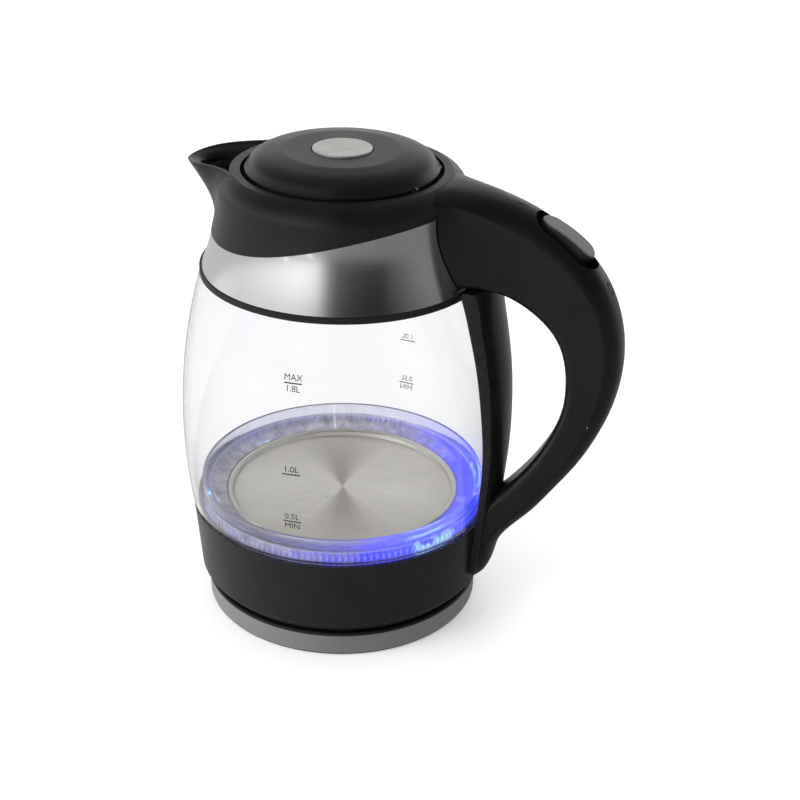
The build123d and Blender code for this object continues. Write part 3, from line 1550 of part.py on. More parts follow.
pieces = {
    "base_housing": base_housing.part,
    "base_trim_ring": base_trim_ring.part,
    "base_bottom_cover": base_bottom_cover.part,
    "base_foot_ring": base_foot_ring.part,
    "base_screws": base_screws.part,
    "base_connector": base_connector.part,
    "base_contact_sleeves": base_contact_sleeves.part,
    "jug_connector": jug_connector.part,
    "jug_connector_contacts": jug_connector_contacts.part,
    "jug_bottom_cover": jug_bottom_cover.part,
    "jug_bottom_screws": jug_bottom_screws.part,
    "jug_skirt": jug_skirt.part,
    "glass_lower_seal": glass_lower_seal.part,
    "heater_plate": heater_plate.part,
    "heat_spreader": heat_spreader.part,
    "heating_element": heating_element.part,
    "plate_seal": plate_seal.part,
    "light_ring": light_ring.part,
    "plate_clamp": plate_clamp.part,
    "led_board": led_board.part,
    "leds": leds.part,
    "dry_boil_control": dry_boil_control.part,
    "control_bimetals": control_bimetals.part,
    "glass_body": glass_body.part,
    "glass_gasket": glass_gasket.part,
    "steel_band": steel_band.part,
    "spout_collar": spout_collar.part,
    "filter_frame": filter_frame.part,
    "filter_mesh": filter_mesh.part,
    "lid_cover": lid_cover.part,
    "lid_cup": lid_cup.part,
    "lid_screws": lid_screws.part,
    "lid_seal": lid_seal.part,
    "lid_button": lid_button.part,
    "button_spring": button_spring.part,
    "lid_latch": lid_latch.part,
    "hinge_bracket": hinge_bracket.part,
    "hinge_screws": hinge_screws.part,
    "hinge_pin": hinge_pin.part,
    "hinge_spring": hinge_spring.part,
    "handle_body": handle_body.part,
    "handle_cover": handle_cover.part,
    "handle_strip": handle_strip.part,
    "rocker": rocker.part,
    "rocker_pin": rocker_pin.part,
    "steam_switch": steam_switch.part,
    "steam_bimetal": steam_bimetal.part,
}
os.makedirs("parts", exist_ok=True)
for name, piece in pieces.items():
    piece.label = name
    export_step(piece, f"parts/{name}.step")
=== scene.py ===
"""The looks of an electric kettle with a glass jug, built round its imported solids."""

import json
import math
from collections import namedtuple

import bpy
from mathutils import Matrix, Vector
from mathutils.bvhtree import BVHTree


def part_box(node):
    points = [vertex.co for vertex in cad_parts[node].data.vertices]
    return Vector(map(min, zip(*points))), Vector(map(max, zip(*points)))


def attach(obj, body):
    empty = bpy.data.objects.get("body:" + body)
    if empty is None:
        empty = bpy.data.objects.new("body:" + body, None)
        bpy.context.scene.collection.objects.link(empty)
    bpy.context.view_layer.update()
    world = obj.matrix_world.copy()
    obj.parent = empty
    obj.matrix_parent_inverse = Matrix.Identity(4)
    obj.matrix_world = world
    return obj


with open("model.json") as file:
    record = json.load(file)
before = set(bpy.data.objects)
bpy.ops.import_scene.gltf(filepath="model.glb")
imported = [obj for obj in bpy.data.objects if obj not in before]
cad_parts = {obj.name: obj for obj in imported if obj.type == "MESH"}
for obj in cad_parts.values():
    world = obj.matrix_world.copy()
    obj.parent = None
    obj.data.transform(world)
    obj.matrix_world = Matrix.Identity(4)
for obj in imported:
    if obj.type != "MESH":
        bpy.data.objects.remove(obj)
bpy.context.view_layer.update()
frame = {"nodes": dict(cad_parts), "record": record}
nodes = frame["nodes"]

Spot = namedtuple("Spot", "coord x y z radius angle")

grain_depth = 0.00004           # of a moulded or blasted surface, in metres
hair_depth = 0.00003            # of brushed hairlines and rubber grain
ink_lift = 0.00006              # printed marks stand this far off their surface


# ---------------------------------------------------------------- node helpers
def new_material(name):
    """An empty material, its node tree and its output node."""
    made = bpy.data.materials.new(name)
    made.use_nodes = True
    tree = made.node_tree
    tree.nodes.clear()
    out = tree.nodes.new("ShaderNodeOutputMaterial")
    return made, tree, out


def add(tree, kind, links=None, **values):
    """A node with its inputs set by name; a value that is a socket is linked."""
    node = tree.nodes.new(kind)
    for key, value in values.items():
        setattr(node, key, value)
    for key, value in (links or {}).items():
        socket = node.inputs[key]
        if isinstance(value, bpy.types.NodeSocket):
            tree.links.new(value, socket)
        else:
            socket.default_value = value
    return node


def maths(tree, operation, *values, clamp=False):
    """A Math node on numbers or sockets."""
    node = tree.nodes.new("ShaderNodeMath")
    node.operation = operation
    node.use_clamp = clamp
    for order, value in enumerate(values):
        if isinstance(value, bpy.types.NodeSocket):
            tree.links.new(value, node.inputs[order])
        else:
            node.inputs[order].default_value = value
    return node.outputs[0]


def plus(tree, first, second):
    return maths(tree, "ADD", first, second)


def less(tree, first, second, clamp=False):
    return maths(tree, "SUBTRACT", first, second, clamp=clamp)


def times(tree, first, second):
    return maths(tree, "MULTIPLY", first, second)


def combined(tree, x, y, z):
    return add(tree, "ShaderNodeCombineXYZ", {0: x, 1: y, 2: z}).outputs[0]


def blend(tree, factor, first, second, how="MIX"):
    """A mix of two colours, each a socket or (r, g, b)."""
    node = add(tree, "ShaderNodeMix", {"Factor": factor}, data_type="RGBA", blend_type=how)
    for key, shade in (("A", first), ("B", second)):
        if isinstance(shade, bpy.types.NodeSocket):
            tree.links.new(shade, node.inputs[key])
        else:
            node.inputs[key].default_value = (*shade, 1)
    return node.outputs["Result"]


def ramp(tree, factor, stops):
    """Colour ramp; each stop is (position, grey) or (position, (r, g, b))."""
    node = tree.nodes.new("ShaderNodeValToRGB")
    tree.links.new(factor, node.inputs[0])
    elements = node.color_ramp.elements
    while len(elements) < len(stops):
        elements.new(0.5)
    for element, (position, shade) in zip(elements, stops):
        element.position = position
        colour = (shade,) * 3 if isinstance(shade, (int, float)) else shade
        element.color = (*colour, 1.0)
    return node.outputs["Color"]


def shades(tree, factor, colour, dark, light):
    """Ramp from a darker to a lighter shade of one colour."""
    stops = [(0.3, tuple(c * dark for c in colour)), (0.7, tuple(min(c * light, 1) for c in colour))]
    return ramp(tree, factor, stops)


def span(tree, value, low, high, to_low=0.0, to_high=1.0):
    """The value's range from low to high, clamped, as the range from to_low to to_high."""
    ends = {"Value": value, "From Min": low, "From Max": high, "To Min": to_low, "To Max": to_high}
    return add(tree, "ShaderNodeMapRange", ends, clamp=True).outputs["Result"]


def place(tree):
    """Object-space position and its x, y, z, radius and azimuth about the kettle's axis."""
    coord = tree.nodes.new("ShaderNodeTexCoord").outputs["Object"]
    x, y, z = add(tree, "ShaderNodeSeparateXYZ", {0: coord}).outputs
    radius = maths(tree, "SQRT", plus(tree, times(tree, x, x), times(tree, y, y)))
    return Spot(coord, x, y, z, radius, maths(tree, "ARCTAN2", y, x))


def noise(tree, vector, scale, detail=3.0, rough=0.5):
    inputs = {"Vector": vector, "Scale": scale, "Detail": detail, "Roughness": rough}
    return add(tree, "ShaderNodeTexNoise", inputs).outputs["Fac"]


def stretched(tree, vector, scale):
    return add(tree, "ShaderNodeMapping", {"Vector": vector, "Scale": scale}).outputs[0]


def bump(tree, height, strength, distance):
    inputs = {"Strength": strength, "Distance": distance, "Height": height}
    return add(tree, "ShaderNodeBump", inputs).outputs[0]


def principled(tree, out, inputs):
    """A Principled shader, linked to the material's output."""
    shader = add(tree, "ShaderNodeBsdfPrincipled", inputs)
    tree.links.new(shader.outputs[0], out.inputs[0])
    return shader


# ---------------------------------------------------------------- materials
def moulded(name, colour, low_rough, high_rough):
    """Moulded plastic: fine spark-eroded grain, slight clouding of the gloss."""
    made, tree, out = new_material(name)
    coord = place(tree).coord
    fine = noise(tree, coord, 900.0, 2.0)
    cloud = noise(tree, coord, 60.0, 4.0)
    principled(
        tree,
        out,
        {
            "Base Color": shades(tree, cloud, colour, 0.85, 1.12),
            "Roughness": span(tree, cloud, 0.35, 0.65, low_rough, high_rough),
            "Normal": bump(tree, fine, 0.5, grain_depth),
        },
    )
    return made


def plastic_with_painted_top_light(name, top, sides):
    """Moulded plastic, dark and glossy, with painted light: a paler, duller top, the face towards top_way,
    and a painted highlight round its rim.
    """
    made, tree, out = new_material(name)
    coord = place(tree).coord
    normal = tree.nodes.new("ShaderNodeNewGeometry").outputs["Normal"]
    top_way = (0.68, 0.0, 0.73)
    both_ways = {0: normal, 1: top_way}
    facing = add(tree, "ShaderNodeVectorMath", both_ways, operation="DOT_PRODUCT").outputs["Value"]
    # painted light: the face towards top_way is painted paler, and a band round it is painted paler as a rim
    # highlight
    level = span(tree, facing, 0.90, 0.97)
    painted_rim_highlight = times(tree, span(tree, facing, 0.45, 0.75), less(tree, 1.0, level))
    fine = noise(tree, coord, 1100.0, 2.0)
    painted_light_share = plus(tree, level, times(tree, painted_rim_highlight, 0.8))
    principled(
        tree,
        out,
        {
            "Base Color": blend(tree, painted_light_share, sides, shades(tree, fine, top, 0.85, 1.15)),
            "Roughness": span(tree, level, 0.0, 1.0, 0.25, 0.45),
            "Normal": bump(tree, fine, 0.5, grain_depth),
        },
    )
    return made


def brushed(name, colour, rough, direction="round", strength=0.35):
    """Brushed metal with hairlines round the axis, or along X."""
    made, tree, out = new_material(name)
    fine_scale, round_scale, along_scale = 2600.0, 3.0, 40.0
    spot = place(tree)
    if direction == "round":
        lines = combined(tree, times(tree, spot.angle, 0.35), spot.radius, spot.z)
        hairs = stretched(tree, lines, (round_scale, fine_scale, fine_scale))
    else:
        hairs = stretched(tree, spot.coord, (along_scale, fine_scale, fine_scale))
    hair = noise(tree, hairs, 1.0, 3.0, 0.6)
    cloud = noise(tree, spot.coord, 25.0, 2.0)
    dark = tuple(c * 0.93 for c in colour)
    light = tuple(min(c * 1.05, 1) for c in colour)
    hair_rough = span(tree, hair, 0.3, 0.7, rough - 0.02, rough + 0.03)
    principled(
        tree,
        out,
        {
            "Base Color": blend(tree, hair, dark, light),
            "Metallic": 1.0,
            "Roughness": plus(tree, hair_rough, times(tree, cloud, 0.03)),
            "Normal": bump(tree, hair, strength, hair_depth),
        },
    )
    return made


def rubber(name, colour, rough=0.7):
    """Dull rubber or silicone with a fine grain."""
    made, tree, out = new_material(name)
    fine = noise(tree, place(tree).coord, 1500.0, 3.0)
    principled(
        tree,
        out,
        {
            "Base Color": shades(tree, fine, colour, 0.8, 1.2),
            "Roughness": span(tree, fine, 0.3, 0.7, rough - 0.08, rough + 0.08),
            "Normal": bump(tree, fine, 0.4, hair_depth),
        },
    )
    return made


def clear_glass(name):
    """Clear borosilicate wall. Shadow rays pass through it, as light does."""
    made, tree, out = new_material(name)
    wave = noise(tree, place(tree).coord, 18.0, 1.0)
    wall = add(
        tree,
        "ShaderNodeBsdfPrincipled",
        {
            "Base Color": (0.982, 0.986, 0.986, 1),
            "Roughness": 0.0,
            "IOR": 1.34,
            "Transmission Weight": 1.0,
            "Normal": bump(tree, wave, 0.05, 0.0004),
        },
    ).outputs[0]
    through = add(tree, "ShaderNodeBsdfTransparent", {"Color": (0.97, 0.975, 0.975, 1)}).outputs[0]
    shadow = add(tree, "ShaderNodeLightPath").outputs["Is Shadow Ray"]
    mixed = add(tree, "ShaderNodeMixShader", {0: shadow, 1: wall, 2: through})
    tree.links.new(mixed.outputs[0], out.inputs[0])
    return made


def diode_places():
    """Middle of each diode, from its solid, with the weight of its light."""
    near_handle, near_spout = 1.0, 0.13
    groups = {}
    for vertex in nodes["leds"].data.vertices:
        key = (vertex.co.x > 0, vertex.co.y > 0)
        groups.setdefault(key, []).append(vertex.co)
    return [
        (sum(points, Vector()) / len(points), near_handle if key[0] else near_spout)
        for key, points in groups.items()
    ]


def diode_glow(tree, coord):
    """Light of the diodes, each falling off with the distance from it."""
    decay_base, decay_rate = 2.718, -30.0
    glow = None
    for middle, weight in diode_places():
        to_middle = {0: coord, 1: tuple(middle)}
        gap = add(tree, "ShaderNodeVectorMath", to_middle, operation="DISTANCE").outputs["Value"]
        near = times(tree, weight, maths(tree, "POWER", decay_base, times(tree, gap, decay_rate)))
        glow = near if glow is None else plus(tree, glow, near)
    return glow


def lit_ring(name):
    """Clear ribbed plastic lit from four diodes: deep blue near them, greyish violet further off."""
    made, tree, out = new_material(name)
    spot = place(tree)
    outer_starts, face_starts, ring_r = 0.0665, 0.0690, 0.0700
    teeth_round, teeth_up = 150.0, 1300.0
    clear_from, clear_full = 0.0050, 0.0065     # above the skirt's top
    seam_angle, seam_half = 2.02, 0.008
    cloud = noise(tree, spot.coord, 85.0, 4.0, 0.65)
    scales = ((spot.angle, 14.0), (spot.radius, 160.0), (spot.z, 160.0))
    drawn = [times(tree, value, scale) for value, scale in scales]
    streak = noise(tree, combined(tree, *drawn), 1.0, 3.0, 0.6)
    outer = span(tree, spot.radius, outer_starts, ring_r)
    glow = times(tree, diode_glow(tree, spot.coord), span(tree, cloud, 0.3, 0.7, 0.65, 1.35))
    glow = times(tree, glow, plus(tree, 0.60, times(tree, outer, 0.62)))

    # the teeth stand at the foot of the outer wall, and its upper part is clear
    ribs = maths(tree, "SINE", times(tree, spot.angle, teeth_round))
    rows = maths(tree, "SINE", times(tree, spot.z, teeth_up))
    teeth = times(tree, times(tree, span(tree, ribs, -0.2, 0.7), span(tree, rows, -0.5, 0.4)), outer)
    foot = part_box("jug_skirt")[1].z
    outer_face = span(tree, spot.radius, face_starts, ring_r)
    upper = times(tree, outer_face, span(tree, spot.z, foot + clear_from, foot + clear_full))
    teeth = times(tree, teeth, less(tree, 1.0, upper))
    from_seam = maths(tree, "ABSOLUTE", less(tree, spot.angle, seam_angle))
    seam = maths(tree, "LESS_THAN", from_seam, seam_half)

    greys = [(0.25, (0.24, 0.235, 0.31)), (0.5, (0.46, 0.45, 0.53)), (0.75, (0.70, 0.69, 0.76))]
    clear = ramp(tree, streak, greys)
    lit = blend(tree, span(tree, glow, 0.09, 0.42), clear, (0.06, 0.06, 0.85))
    glints = maths(tree, "MAXIMUM", times(tree, teeth, 0.22), seam)
    pale = blend(tree, glints, lit, (0.92, 0.92, 1.0))
    glow_colour = ramp(
        tree,
        glow,
        [
            (0.0, (0.40, 0.38, 0.55)),
            (0.2, (0.26, 0.25, 0.85)),
            (0.45, (0.10, 0.11, 1.0)),
            (0.93, (0.07, 0.10, 1.0)),
            (1.0, (0.35, 0.62, 1.0)),
        ],
    )
    strength = plus(tree, span(tree, glow, 0.09, 0.8, 0.0, 0.80), times(tree, times(tree, teeth, glow), 0.35))
    see_through = span(tree, glow, 0.1, 0.5, 0.45, 0.15)
    ribbed = times(tree, ribs, less(tree, outer, upper, clamp=True))
    relief = plus(tree, ribbed, times(tree, cloud, 0.6))
    principled(
        tree,
        out,
        {
            "Base Color": blend(tree, times(tree, upper, 0.8), pale, (0.88, 0.88, 0.96)),
            "Roughness": 0.12,
            "IOR": 1.4,
            "Transmission Weight": maths(tree, "MAXIMUM", see_through, times(tree, upper, 0.93)),
            "Emission Color": glow_colour,
            "Emission Strength": times(tree, strength, less(tree, 1.0, times(tree, upper, 0.72))),
            "Normal": bump(tree, relief, 0.45, 0.0005),
        },
    )
    return made


def glowing(name, colour, strength):
    """A lens that gives off light, unevenly."""
    made, tree, out = new_material(name)
    spark = noise(tree, place(tree).coord, 900.0, 2.0)
    principled(
        tree,
        out,
        {
            "Base Color": (*colour, 1),
            "Roughness": 0.2,
            "Emission Color": (*colour, 1),
            "Emission Strength": span(tree, spark, 0.3, 0.7, strength * 0.8, strength * 1.2),
        },
    )
    return made


def spun_plate(name):
    """Heater plate: spun stainless steel with fine concentric grooves, and their fan-shaped glint painted
    into its colour.
    """
    made, tree, out = new_material(name)
    spot = place(tree)
    groove_scale = 3200.0
    fan_turn = 1.16                             # the fan's dark line lies at minus this angle
    fan_faint_r, fan_full_r = 0.052, 0.006
    rings = combined(tree, times(tree, spot.angle, 0.8), times(tree, spot.radius, groove_scale), 0.0)
    groove = noise(tree, rings, 1.0, 3.0, 0.6)
    cloud = noise(tree, spot.coord, 22.0, 5.0, 0.6)
    scratch = noise(tree, stretched(tree, spot.coord, (25.0, 420.0, 25.0)), 1.0, 4.0, 0.7)

    # painted glint: a fan of light and dark wedges from the middle, fainter towards the edge
    spoke = combined(tree, maths(tree, "COSINE", spot.angle), maths(tree, "SINE", spot.angle), 0.0)
    wedges = noise(tree, spoke, 9.0, 4.0, 0.7)
    across = maths(tree, "ABSOLUTE", maths(tree, "SINE", plus(tree, spot.angle, fan_turn)))
    painted_fan_glint = plus(tree, span(tree, across, 0.12, 0.52, 0.0, 0.75), times(tree, wedges, 0.40))
    fade = span(tree, spot.radius, fan_faint_r, fan_full_r)
    contrast = plus(tree, times(tree, fade, 0.7), 0.3)
    painted_fan_glint = plus(tree, times(tree, less(tree, painted_fan_glint, 0.8), contrast), 0.5)

    wear = plus(tree, times(tree, cloud, 0.25), times(tree, scratch, 0.15))
    tone = plus(tree, times(tree, painted_fan_glint, 0.6), wear)
    steel = [(0.2, (0.26, 0.235, 0.205)), (0.5, (0.44, 0.42, 0.385)), (0.75, (0.64, 0.62, 0.585))]
    shader = principled(
        tree,
        out,
        {
            "Base Color": ramp(tree, tone, steel),
            "Metallic": 0.6,
            "Roughness": span(tree, groove, 0.3, 0.7, 0.30, 0.42),
            "Normal": bump(tree, groove, 0.25, hair_depth),
            "Anisotropic": 0.6,
        },
    )
    tangent = add(tree, "ShaderNodeTangent", direction_type="RADIAL", axis="Z")
    tree.links.new(tangent.outputs[0], shader.inputs["Tangent"])
    return made


def cast_metal(name, colour, rough):
    """Satin painted or blasted metal with a fine sparkle."""
    made, tree, out = new_material(name)
    coord = place(tree).coord
    fleck = noise(tree, coord, 1400.0, 2.0)
    cloud = noise(tree, coord, 120.0, 3.0)
    principled(
        tree,
        out,
        {
            "Base Color": shades(tree, fleck, colour, 0.85, 1.08),
            "Metallic": 0.85,
            "Roughness": span(tree, cloud, 0.3, 0.7, rough - 0.05, rough + 0.05),
            "Normal": bump(tree, fleck, 0.4, grain_depth),
        },
    )
    return made


def woven(name):
    """Fine steel mesh, its wires along Y and Z."""
    made, tree, out = new_material(name)
    spot = place(tree)
    wire_scale = 9000.0
    warp, weft = (maths(tree, "SINE", times(tree, way, wire_scale)) for way in (spot.y, spot.z))
    principled(
        tree,
        out,
        {
            "Base Color": (0.6, 0.6, 0.6, 1),
            "Metallic": 1.0,
            "Roughness": 0.35,
            "Normal": bump(tree, maths(tree, "MAXIMUM", warp, weft), 0.6, 0.0001),
        },
    )
    return made


looks = {
    "base_plastic": moulded("base_plastic", (0.008, 0.008, 0.009), 0.35, 0.45),
    "ring_steel": brushed("ring_steel", (0.66, 0.66, 0.66), 0.30, strength=0.15),
    "foot_rubber": rubber("foot_rubber", (0.012, 0.012, 0.012)),
    "screw_steel": brushed("screw_steel", (0.55, 0.55, 0.55), 0.3, "along"),
    "contact_brass": brushed("contact_brass", (0.72, 0.5, 0.2), 0.25),
    "inner_plastic": moulded("inner_plastic", (0.02, 0.02, 0.022), 0.45, 0.55),
    "skirt_plastic": moulded("skirt_plastic", (0.010, 0.010, 0.011), 0.24, 0.32),
    "silicone": rubber("silicone", (0.6, 0.6, 0.57), 0.5),
    "gasket_rubber": rubber("gasket_rubber", (0.010, 0.010, 0.011), 0.45),
    "plate_steel": spun_plate("plate_steel"),
    "spreader_aluminium": cast_metal("spreader_aluminium", (0.7, 0.7, 0.7), 0.5),
    "element_steel": brushed("element_steel", (0.4, 0.4, 0.4), 0.4),
    "clear_plastic": lit_ring("clear_plastic"),
    "board": moulded("board", (0.02, 0.10, 0.04), 0.4, 0.5),
    "led_lens": glowing("led_lens", (0.25, 0.85, 1.0), 9.0),
    "bimetal": brushed("bimetal", (0.6, 0.5, 0.35), 0.35),
    "glass": clear_glass("glass"),
    "band_steel": brushed("band_steel", (0.88, 0.88, 0.88), 0.15, strength=0.06),
    "collar_plastic": moulded("collar_plastic", (0.0075, 0.0072, 0.0075), 0.30, 0.36),
    "handle_plastic": moulded("handle_plastic", (0.0058, 0.0058, 0.0060), 0.28, 0.36),
    "strip_plastic": moulded("strip_plastic", (0.0085, 0.0085, 0.0088), 0.24, 0.32),
    # the rocker's paler top and its rim highlight are painted light
    "rocker_plastic": plastic_with_painted_top_light("rocker_plastic", (0.15, 0.15, 0.152), (0.009, 0.009, 0.009)),
    "lid_plastic": moulded("lid_plastic", (0.0085, 0.0080, 0.0080), 0.30, 0.36),
    "button_metal": cast_metal("button_metal", (0.84, 0.82, 0.79), 0.42),
    "filter_steel": woven("filter_steel"),
}
slot_of = {row["node"]: row["material_slot"] for row in frame["record"]["subparts"]}
for name, obj in nodes.items():
    obj.data.materials.clear()
    obj.data.materials.append(looks[slot_of[name]])

# ---------------------------------------------------------------- printed marks
mark_black, tree, out = new_material("mark_ink")
ink = noise(tree, place(tree).coord, 2500.0, 2.0)
ink_tone = ramp(tree, ink, [(0.3, 0.004), (0.7, 0.009)])
principled(tree, out, {"Base Color": ink_tone, "Roughness": span(tree, ink, 0.3, 0.7, 0.5, 0.7)})


def surface(node):
    """A ray caster for a CAD node's mesh."""
    mesh = nodes[node].data
    mesh.calc_loop_triangles()
    points = [v.co.copy() for v in mesh.vertices]
    return BVHTree.FromPolygons(points, [tuple(t.vertices) for t in mesh.loop_triangles])


glass_skin = surface("glass_body")


def on_glass(azimuth, height):
    """Point on the glass's outside at that azimuth (radians) and height."""
    beyond_glass = 0.12
    out_way = Vector((math.cos(azimuth), math.sin(azimuth), 0))
    hit = glass_skin.ray_cast(out_way * beyond_glass + Vector((0, 0, height)), -out_way)[0]
    return hit + out_way * ink_lift


def flat_text(words, size):
    """Points and faces of words as a flat mesh, centred on its origin."""
    curve = bpy.data.curves.new("words", "FONT")
    curve.body = words
    curve.size = size
    curve.align_x = "CENTER"
    curve.align_y = "CENTER"
    curve.resolution_u = 3
    holder = bpy.data.objects.new("words", curve)
    bpy.context.scene.collection.objects.link(holder)
    bpy.context.view_layer.update()
    mesh = bpy.data.meshes.new_from_object(holder.evaluated_get(bpy.context.evaluated_depsgraph_get()))
    bpy.data.objects.remove(holder)
    return [v.co.copy() for v in mesh.vertices], [tuple(p.vertices) for p in mesh.polygons]


def bar(width, height):
    """Points and faces of a flat bar, in steps along it so that it can bend."""
    steps = 12
    points = [
        Vector((width * (i / steps - 0.5), side * height / 2, 0))
        for side in (-1, 1)
        for i in range(steps + 1)
    ]
    faces = [(i, i + 1, i + steps + 2, i + steps + 1) for i in range(steps)]
    return points, faces


def ring(outer_u, outer_v, width):
    """Points and faces of a flat oval ring."""
    steps = 28
    turns = [math.tau * i / steps for i in range(steps)]
    points = [
        Vector(((outer_u - inset) * math.cos(turn), (outer_v - inset) * math.sin(turn), 0))
        for inset in (0, width)
        for turn in turns
    ]
    faces = [(i, (i + 1) % steps, (i + 1) % steps + steps, i + steps) for i in range(steps)]
    return points, faces


def piece(name, parts, wrap, material, body):
    """One object from flat parts, each point laid on a surface by wrap."""
    points, faces = [], []
    for part_points, part_faces, shift in parts:
        start = len(points)
        points += [wrap(p.x + shift[0], p.y + shift[1]) for p in part_points]
        faces += [tuple(i + start for i in face) for face in part_faces]
    mesh = bpy.data.meshes.new(name)
    mesh.from_pydata(points, [], faces)
    mesh.update()
    made = bpy.data.objects.new(name, mesh)
    bpy.context.scene.collection.objects.link(made)
    made.data.materials.append(material)
    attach(made, body)


def level_mark(name, azimuth, height, above, below):
    """A line on the glass at that height, with words above and below it."""
    line_length, line_width, letters = 0.0088, 0.00060, 0.0043
    words_up, words_down = 0.0026, -0.0027
    glass_r = 0.079                             # turns a width into an angle round the jug
    parts = [(*bar(line_length, line_width), (0, 0))]
    for words, shift in ((above, words_up), (below, words_down)):
        if words:
            parts.append((*flat_text(words, letters), (0, shift)))

    def wrap(u, v):
        return on_glass(azimuth + u / glass_r, height + v)

    piece(name, parts, wrap, mark_black, "jug")


skirt_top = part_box("jug_skirt")[1].z
mark_azimuth = math.radians(85.3)
levels = (                                      # name, height above the skirt, words above and below
    ("max", 0.0971, "MAX", "1.8L"),
    ("middle", 0.0517, "1.0L", None),
    ("min", 0.0258, "0.5L", "MIN"),
)
for side, azimuth in (("front", -mark_azimuth), ("back", mark_azimuth)):
    for level, rise, above, below in levels:
        level_mark(f"mark_{level}_{side}", azimuth, skirt_top + rise, above, below)

cover_skin = surface("handle_cover")
rocker_low, rocker_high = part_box("rocker")
rocker_middle = (rocker_low.x + rocker_high.x) / 2


def on_handle(x, y):
    """Point on the handle's back, above or below the switch."""
    above_handle = 0.05
    start = Vector((x, y, rocker_high.z + above_handle))
    hit, normal, *_ = cover_skin.ray_cast(start, Vector((0, 0, -1)))
    return hit + normal * ink_lift


def switch_mark(name, shape, shift):
    """A sign on the handle, shifted along it from the middle of the switch."""

    def wrap(u, v):
        return on_handle(rocker_middle + shift + u, v)

    piece(name, [(*shape, (0, 0))], wrap, mark_black, "jug")


switch_mark("mark_on", bar(0.0052, 0.0008), -0.0212)
switch_mark("mark_off", ring(0.0017, 0.0021, 0.0007), 0.0226)

# ---------------------------------------------------------------- stage, light and camera
scene = bpy.context.scene
scene.view_settings.view_transform = "Standard"

floor_reach = 6
floor_mesh = bpy.data.meshes.new("floor")
corners = [(x * floor_reach, y * floor_reach, 0) for x, y in ((-1, -1), (1, -1), (1, 1), (-1, 1))]
floor_mesh.from_pydata(corners, [], [(0, 1, 2, 3)])
floor = bpy.data.objects.new("floor", floor_mesh)
scene.collection.objects.link(floor)
front_angle = math.radians(-68.0)               # the front of the picture
front_way = (math.cos(front_angle), math.sin(front_angle))


def round_share(tree, x, y):
    """Direction round the kettle: 0.5 to the front, less to its left, more to its right."""
    along = plus(tree, times(tree, x, front_way[0]), times(tree, y, front_way[1]))
    aside = less(tree, times(tree, y, front_way[0]), times(tree, x, front_way[1]))
    return span(tree, maths(tree, "ARCTAN2", aside, along), -math.pi, math.pi)


def mirror_share(tree, path):
    """1 for the rays that a surface reflects, 0 for those that pass through glass."""
    return less(tree, path.outputs["Is Glossy Ray"], path.outputs["Is Transmission Ray"], clamp=True)


def seen_share(tree, path, direct, through):
    """White added for rays from the camera, and for those that pass through glass."""
    direct_part = times(tree, path.outputs["Is Camera Ray"], direct)
    return plus(tree, direct_part, times(tree, path.outputs["Is Transmission Ray"], through))


floor_look, tree, out = new_material("floor")
spot = place(tree)
tone = ramp(tree, noise(tree, spot.coord, 2.0, 2.0), [(0.3, 0.88), (0.7, 0.90)])
diffuse = add(tree, "ShaderNodeBsdfDiffuse", {"Color": tone})
path = add(tree, "ShaderNodeLightPath")
white = {"Color": (1, 1, 1, 1), "Strength": seen_share(tree, path, 0.34, 0.05)}
added = add(tree, "ShaderNodeEmission", white)
floor_sum = add(tree, "ShaderNodeAddShader", {0: diffuse.outputs[0], 1: added.outputs[0]})
# what shiny pieces mirror of the floor: dark in front, pale behind
floor_round = ramp(
    tree,
    round_share(tree, spot.x, spot.y),
    [
        (0.0, 0.60),
        (0.30, 0.50),
        (0.40, 0.38),
        (0.50, 0.24),
        (0.60, 0.19),
        (0.76, 0.19),
        (0.86, 0.45),
        (1.0, 0.60),
    ],
)
mirrored = add(tree, "ShaderNodeEmission", {"Color": floor_round, "Strength": 1.0})
floor_shaders = {0: mirror_share(tree, path), 1: floor_sum.outputs[0], 2: mirrored.outputs[0]}
floor_mix = add(tree, "ShaderNodeMixShader", floor_shaders)
tree.links.new(floor_mix.outputs[0], out.inputs[0])
floor_mesh.materials.append(floor_look)

world = bpy.data.worlds.new("world")
scene.world = world
world.use_nodes = True
tree = world.node_tree
tree.nodes.clear()
out = tree.nodes.new("ShaderNodeOutputWorld")
path = add(tree, "ShaderNodeLightPath")
way_out = tree.nodes.new("ShaderNodeTexCoord").outputs["Generated"]
way = add(tree, "ShaderNodeSeparateXYZ", {0: way_out}).outputs
# the room that shiny pieces mirror: white low round the left and the back, dark in front and overhead
around = ramp(
    tree,
    round_share(tree, way[0], way[1]),
    [
        (0.0, 1.0),
        (0.25, 0.75),
        (0.33, 0.95),
        (0.40, 1.15),
        (0.440, 1.0),
        (0.455, 0.55),
        (0.470, 0.22),
        (0.49, 0.09),
        (0.544, 0.04),
        (0.589, 0.03),
        (0.622, 0.09),
        (0.694, 0.20),
        (0.764, 0.22),
        (0.80, 0.35),
        (0.84, 1.0),
        (1.0, 1.0),
    ],
)
overhead = ramp(tree, way[2], [(0.08, 1.0), (0.25, 0.80), (0.40, 0.45), (0.60, 0.25), (0.90, 0.04)])
room = blend(tree, 1.0, around, overhead, "MULTIPLY")
room_light = 0.55
plain_strength = plus(tree, room_light, seen_share(tree, path, 0.45, 0.38))
plain = add(tree, "ShaderNodeBackground", {"Color": (1, 1, 1, 1), "Strength": plain_strength})
shiny = add(tree, "ShaderNodeBackground", {"Color": room, "Strength": 1.0})
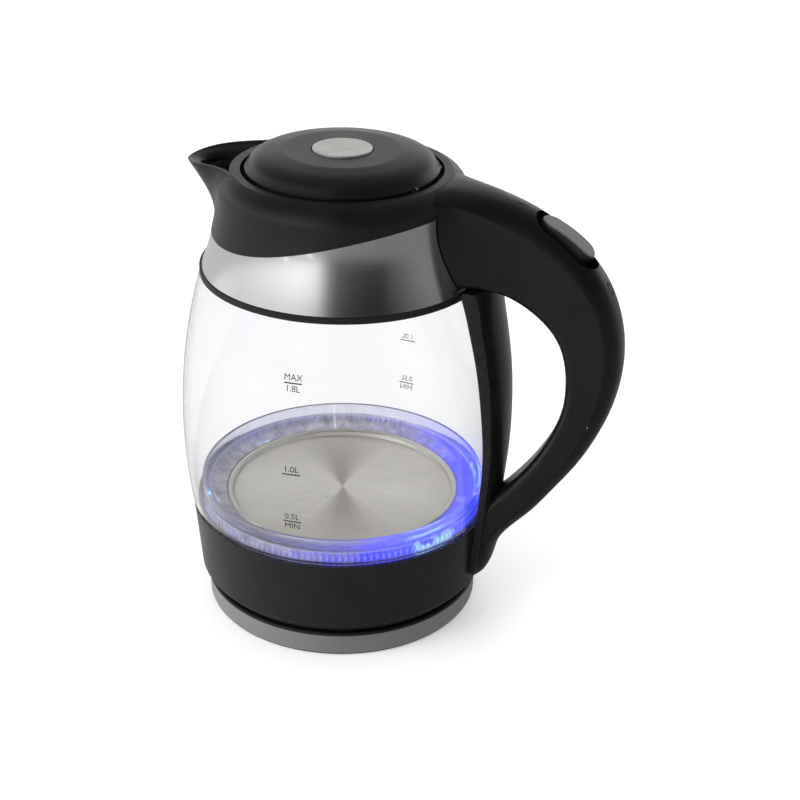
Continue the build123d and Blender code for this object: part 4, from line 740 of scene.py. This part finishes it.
world_shaders = {0: mirror_share(tree, path), 1: plain.outputs[0], 2: shiny.outputs[0]}
world_mix = add(tree, "ShaderNodeMixShader", world_shaders)
tree.links.new(world_mix.outputs[0], out.inputs[0])


def aimed(location, target):
    """A matrix at location whose -Z looks at target."""
    away = (Vector(location) - Vector(target)).normalized()
    side = Vector((0, 0, 1)).cross(away).normalized()
    up = away.cross(side)
    made = Matrix((side, up, away)).transposed().to_4x4()
    made.translation = Vector(location)
    return made


def lamp(name, location, target, size, power):
    """A square area lamp that shiny pieces don't mirror."""
    data = bpy.data.lights.new(name, "AREA")
    data.shape = "RECTANGLE"
    data.size = size
    data.size_y = size
    data.energy = power
    made = bpy.data.objects.new(name, data)
    scene.collection.objects.link(made)
    made.matrix_world = aimed(location, target)
    made.visible_glossy = False


def round_about(degrees, distance, height):
    """A point at an angle from the front of the picture, positive to its right."""
    angle = front_angle + math.radians(degrees)
    return (distance * math.cos(angle), distance * math.sin(angle), height)


jug_middle = (0, 0, 0.13)
lamp("key", round_about(-60, 1.3, 1.0), jug_middle, 1.0, 15.0)
lamp("top", round_about(150, 0.5, 1.5), jug_middle, 1.2, 9.0)

# the camera is placed before the kettle with the spout to the left, then turned about its axis
lens = bpy.data.cameras.new("camera")
lens.lens = 72.0
lens.sensor_width = 36.0
lens.clip_start = 0.01
camera = bpy.data.objects.new("camera", lens)
scene.collection.objects.link(camera)
camera_spot = Vector((0, -0.730, 0.4799))
yaw, pitch, roll, turn = (math.radians(v) for v in (2.306, 26.964, 1.032, 22.0))
forward = Vector((math.sin(yaw) * math.cos(pitch), math.cos(yaw) * math.cos(pitch), -math.sin(pitch)))
level_way = Vector((math.cos(yaw), -math.sin(yaw), 0))
raised = level_way.cross(forward)
right = math.cos(roll) * level_way + math.sin(roll) * raised
upward = -math.sin(roll) * level_way + math.cos(roll) * raised
view_matrix = Matrix((right, upward, -forward)).transposed().to_4x4()
view_matrix.translation = camera_spot
camera.matrix_world = Matrix.Rotation(turn, 4, "Z") @ view_matrix
scene.camera = camera
